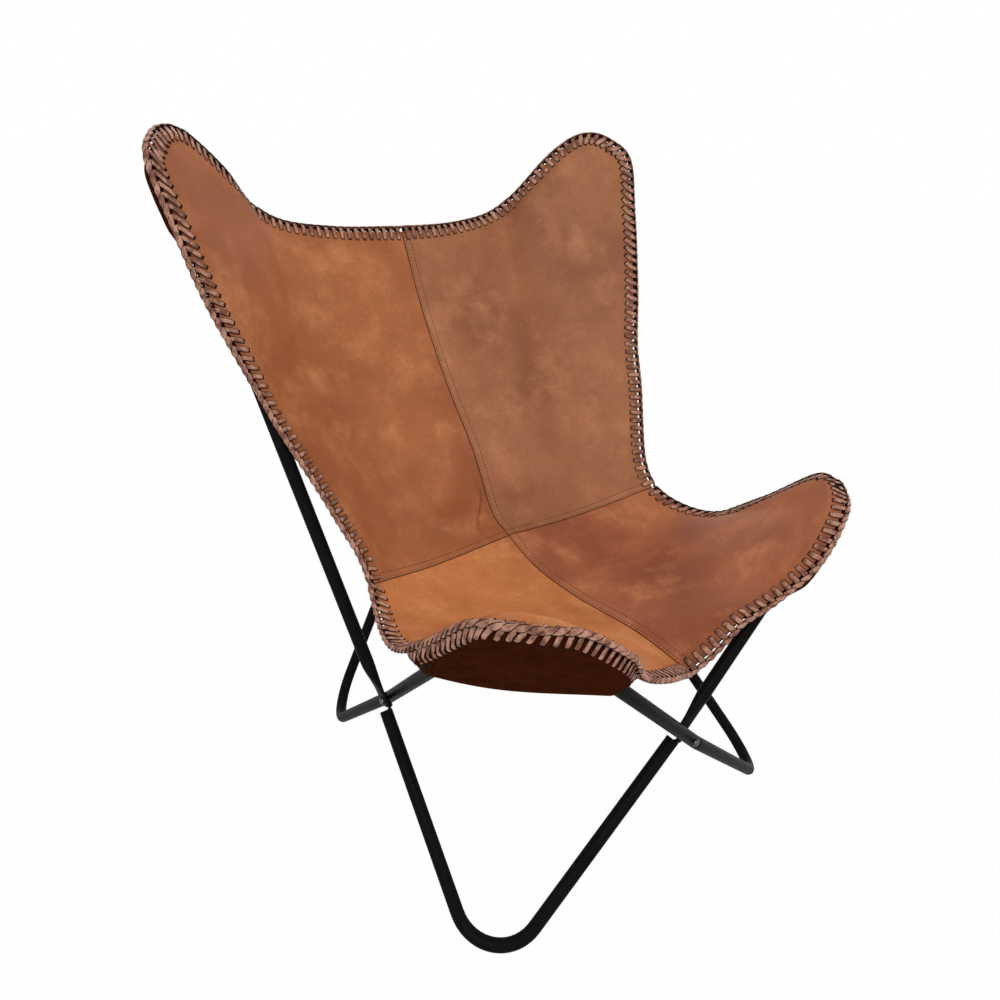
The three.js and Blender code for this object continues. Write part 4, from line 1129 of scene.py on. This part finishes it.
def lacingPiece(part, side, sign):
    points, end, pitch = surfaces[(part, side)], panelEnds[part], lacing["pitch"][side]
    line, inner = rimPolyline(points, part), rimPolyline(points, part, lacing["innerColumn"])
    normals = rimPolyline(gridNormals(points) * sign, part)
    outwards = squareTo(unit(np.gradient(line, axis=0)), line - inner)
    centre = line - normals * sling["leather"] / 2 + outwards * lacing["coreOut"]
    even, rims, normals = resampled(centre, [line, normals], pitch / lacing["evenSteps"])
    for turn in range(lacing["smoothing"]):
        for table in (even, normals):
            table[1:-1] = (table[:-2] + 2 * table[1:-1] + table[2:]) / 4
    core, rims, ups = resampled(even, [rims, unit(normals)], pitch)
    ways = unit(np.gradient(core, axis=0))
    ups = squareTo(ways, ups)
    outs = np.cross(ways, ups)
    outs *= np.sign(np.sum(outs * (core - rims), axis=1).sum())
    tipPlace = arcAlong(points[-1] if part == "back_panel" else points[0], 0)[-1]
    fromTip = arcAlong(core, 0) - tipPlace
    rolls = np.zeros(len(core))
    if (part, side) == ("seat_panel", "right"):
        rolls = 1 - smoothstep(np.abs(fromTip), *lacing["rollFade"])
        core = core + (ups * lacing["rollRise"] - outs * lacing["rollOut"]) * rolls[:, None]

    # the core: a cord under the plait, in the dark shadow material, as painted shade between the leaves
    angles = (2 * math.pi * np.arange(lacing["coreSides"]) / lacing["coreSides"])[:, None]
    ring = (outs[:, None] * np.cos(angles) + ups[:, None] * np.sin(angles)) * lacing["coreRadius"]
    skins = [((core[:, None] + ring).reshape(-1, 3), ringFaces(len(core), lacing["coreSides"]), 1)]

    def addStrap(path, strapUps, widths, thickness, isFromSlit):
        # a strap, and under it a thin dark one a little wider, which shows as its shadow
        path, strapUps, widths = np.array(path), unit(np.array(strapUps)), np.array(widths)
        skins.append((*strap(path, strapUps, widths, thickness), 0))
        # from a slit, the dark strap's end is lifted to the surface, as painted shade in the slit
        if isFromSlit:
            path[0] = path[1] + (path[1] - path[2]) * lacing["slitReachShare"]
            path[0] += strapUps[1] * lacing["slitRise"]
        path = path - strapUps * lacing["outlineDrop"]
        skins.append((*strap(path, strapUps, widths + lacing["outline"], lacing["outlineThickness"]), 1))

    turned = sign * (-1 if part == "back_panel" else 1) * lacing["reach"]
    panelTree, pocketTree = treeOf(points, sign < 0), treeOf(pockets[(end, side)], sign > 0)
    slants = np.interp(fromTip, lacing["slantPlaces"], lacing["slantShares"]) * turned
    isPocketed = (np.abs(fromTip) < pocketRims[end][5] - pitch) & (end == "front")
    widths = np.full(len(lacing["barShares"]) + 2, lacing["barWidth"][side] - lacing["slitNarrowing"])
    widths[slice(*lacing["wideBars"])] = lacing["barWidth"][side]
    stations = zip(core, rims, ways, outs, ups, slants, isPocketed, rolls)
    for place, rim, way, out, up, slant, hasPocket, roll in stations:
        for leaf in lacing["leaves"]:
            addStrap(*leafPath(place, way, out, up, leaf, pitch), lacing["leafThickness"], False)
        rolled = lacing["reach"] * lerp(1, lacing["rollReachShare"], roll)
        for face, reach, tree in ((1, rolled, None), (-1, lacing["reach"], pocketTree if hasPocket else None)):
            path, barUps = barPath(place, rim, way, out, up, face, slant, reach, (panelTree, tree))
            addStrap(path, barUps, widths, lacing["barThickness"], True)
    node = f"lacing_{part.split('_')[0]}_{side}"
    skinsPiece(f"plait_{node}", node, skins, [laceMaterial, shadowMaterial], smoothAngle=45)
    return len(core)


for part in panelSpans:
    for side, sign in sideSigns.items():
        print("lacing ready", part, side, lacingPiece(part, side, sign))

# Stitching: short waxed stitches in two rows beside each seam
stitch = {"length": 0.0036, "pitch": 0.0052, "radius": 0.00045, "steps": 4, "arch": 0.00049}


def stitchPiece(name, rows):
    skins = []
    shares = np.linspace(0, 1, stitch["steps"])[:, None]
    arches = (np.sin(math.pi * shares) * 2 - 1) * stitch["arch"]
    width = 2 * stitch["radius"]
    for line, normals in rows:
        even, ups = resampled(line, [normals], stitch["pitch"])
        for place, way, up in zip(even, unit(np.gradient(even, axis=0)), unit(ups)):
            path = place + way * (shares - 0.5) * stitch["length"] + up * arches
            skins.append((*strap(path, [up] * len(path), [width] * len(path), width), 0))
    skinsPiece(name, None, skins, [threadMaterial], smoothAngle=180)


seamColumns = [grid["bySeam"].index(row) for row in sling["stitchRows"]]
for part in panelSpans:
    points = surfaces[(part, "left")]
    normals = gridNormals(points)
    rows = [(points[1:-1, column], normals[1:-1, column]) for column in seamColumns]
    stitchPiece(f"stitching_centre_{part}", rows)
for side, sign in sideSigns.items():
    points = surfaces[("back_panel", side)]
    normals = gridNormals(points) * sign
    stitchPiece(f"stitching_cross_{side}", [(points[row, 2:-5], normals[row, 2:-5]) for row in seamColumns])
print("stitching ready")

# Studio: pale floor, white behind, soft light, and the camera at the photograph's angle
studio = {"floorHalf": 30.0, "floorTone": (0.86, 0.86, 0.86), "ambient": 0.62, "floorWhiteShare": 0.98}
whiteLight = {"Color": (1, 1, 1), "Strength": 1.0}


def raysOf(shade, *kinds):
    # 1 for a ray of any of these kinds, 0 for the rest
    path = shade.node("LightPath").socket.node
    total = sum(Shade(shade.tree, path.outputs[f"Is {kind} Ray"]) for kind in kinds)
    total.socket.node.use_clamp = True
    return total


world = bpy.data.worlds.new("studio")
bpy.context.scene.world = world
sky = freshTree(world)
isSeen = raysOf(sky, "Camera", "Glossy", "Transmission")
softLight = sky.node("Background", None, {**whiteLight, "Strength": studio["ambient"]})
whiteSky = sky.node("Background", None, whiteLight)
skyBlend = sky.node("MixShader", None, {0: isSeen, 1: softLight, 2: whiteSky})
sky.node("OutputWorld", None, {"Surface": skyBlend})

bpy.ops.mesh.primitive_plane_add(size=2 * studio["floorHalf"])
floor = bpy.context.object
floor.name = "floor"
floorMaterial = bpy.data.materials.new("floor")
ground = freshTree(floorMaterial)
isCamera = raysOf(ground, "Camera")
matte = ground.node("BsdfDiffuse", None, {"Color": studio["floorTone"]})
white = ground.node("Emission", None, whiteLight)
blend = ground.node("MixShader", None, {0: isCamera * studio["floorWhiteShare"], 1: matte, 2: white})
ground.node("OutputMaterial", None, {"Surface": blend})
floor.data.materials.append(floorMaterial)

lamps = {
    "key": ((-1.6, -1.7, 2.6), 1.6, 46), "fill": ((1.9, -1.6, 1.6), 1.8, 14),
    "back": ((0.6, 2.0, 2.4), 1.4, 20),
}
aim = Vector((0, 0, 0.45))
for name, (place, size, power) in lamps.items():
    light = bpy.data.lights.new(name, "AREA")
    light.size, light.energy = size, power
    lamp = bpy.data.objects.new(name, light)
    bpy.context.scene.collection.objects.link(lamp)
    lamp.location = place
    lamp.rotation_euler = (aim - Vector(place)).to_track_quat("-Z", "Y").to_euler()

view = {
    "azimuth": -39.917, "elevation": 24.928, "roll": 2.309, "aim": (-0.059, -0.0049, 0.437),
    "distance": 0.980, "lens": 26.76, "sensor": 36, "clipStart": 0.01,
}
azimuth, elevation, roll = (math.radians(view[name]) for name in ("azimuth", "elevation", "roll"))
back = Vector((math.sin(azimuth), -math.cos(azimuth), 0)) * math.cos(elevation)
back.z = math.sin(elevation)
right = (-back).cross(Vector((0, 0, 1))).normalized()
upward = right.cross(-back)
turnedRight = right * math.cos(roll) + upward * math.sin(roll)
turnedUp = upward * math.cos(roll) - right * math.sin(roll)
camera = bpy.data.objects.new("camera", bpy.data.cameras.new("camera"))
bpy.context.scene.collection.objects.link(camera)
camera.data.lens = view["lens"]
camera.data.sensor_width = view["sensor"]
camera.data.clip_start = view["clipStart"]
pose = Matrix((turnedRight, turnedUp, back)).transposed().to_4x4()
pose.translation = Vector(view["aim"]) + back * view["distance"]
camera.matrix_world = pose
bpy.context.scene.camera = camera
bpy.context.scene.view_settings.view_transform = "Standard"
print("studio ready")
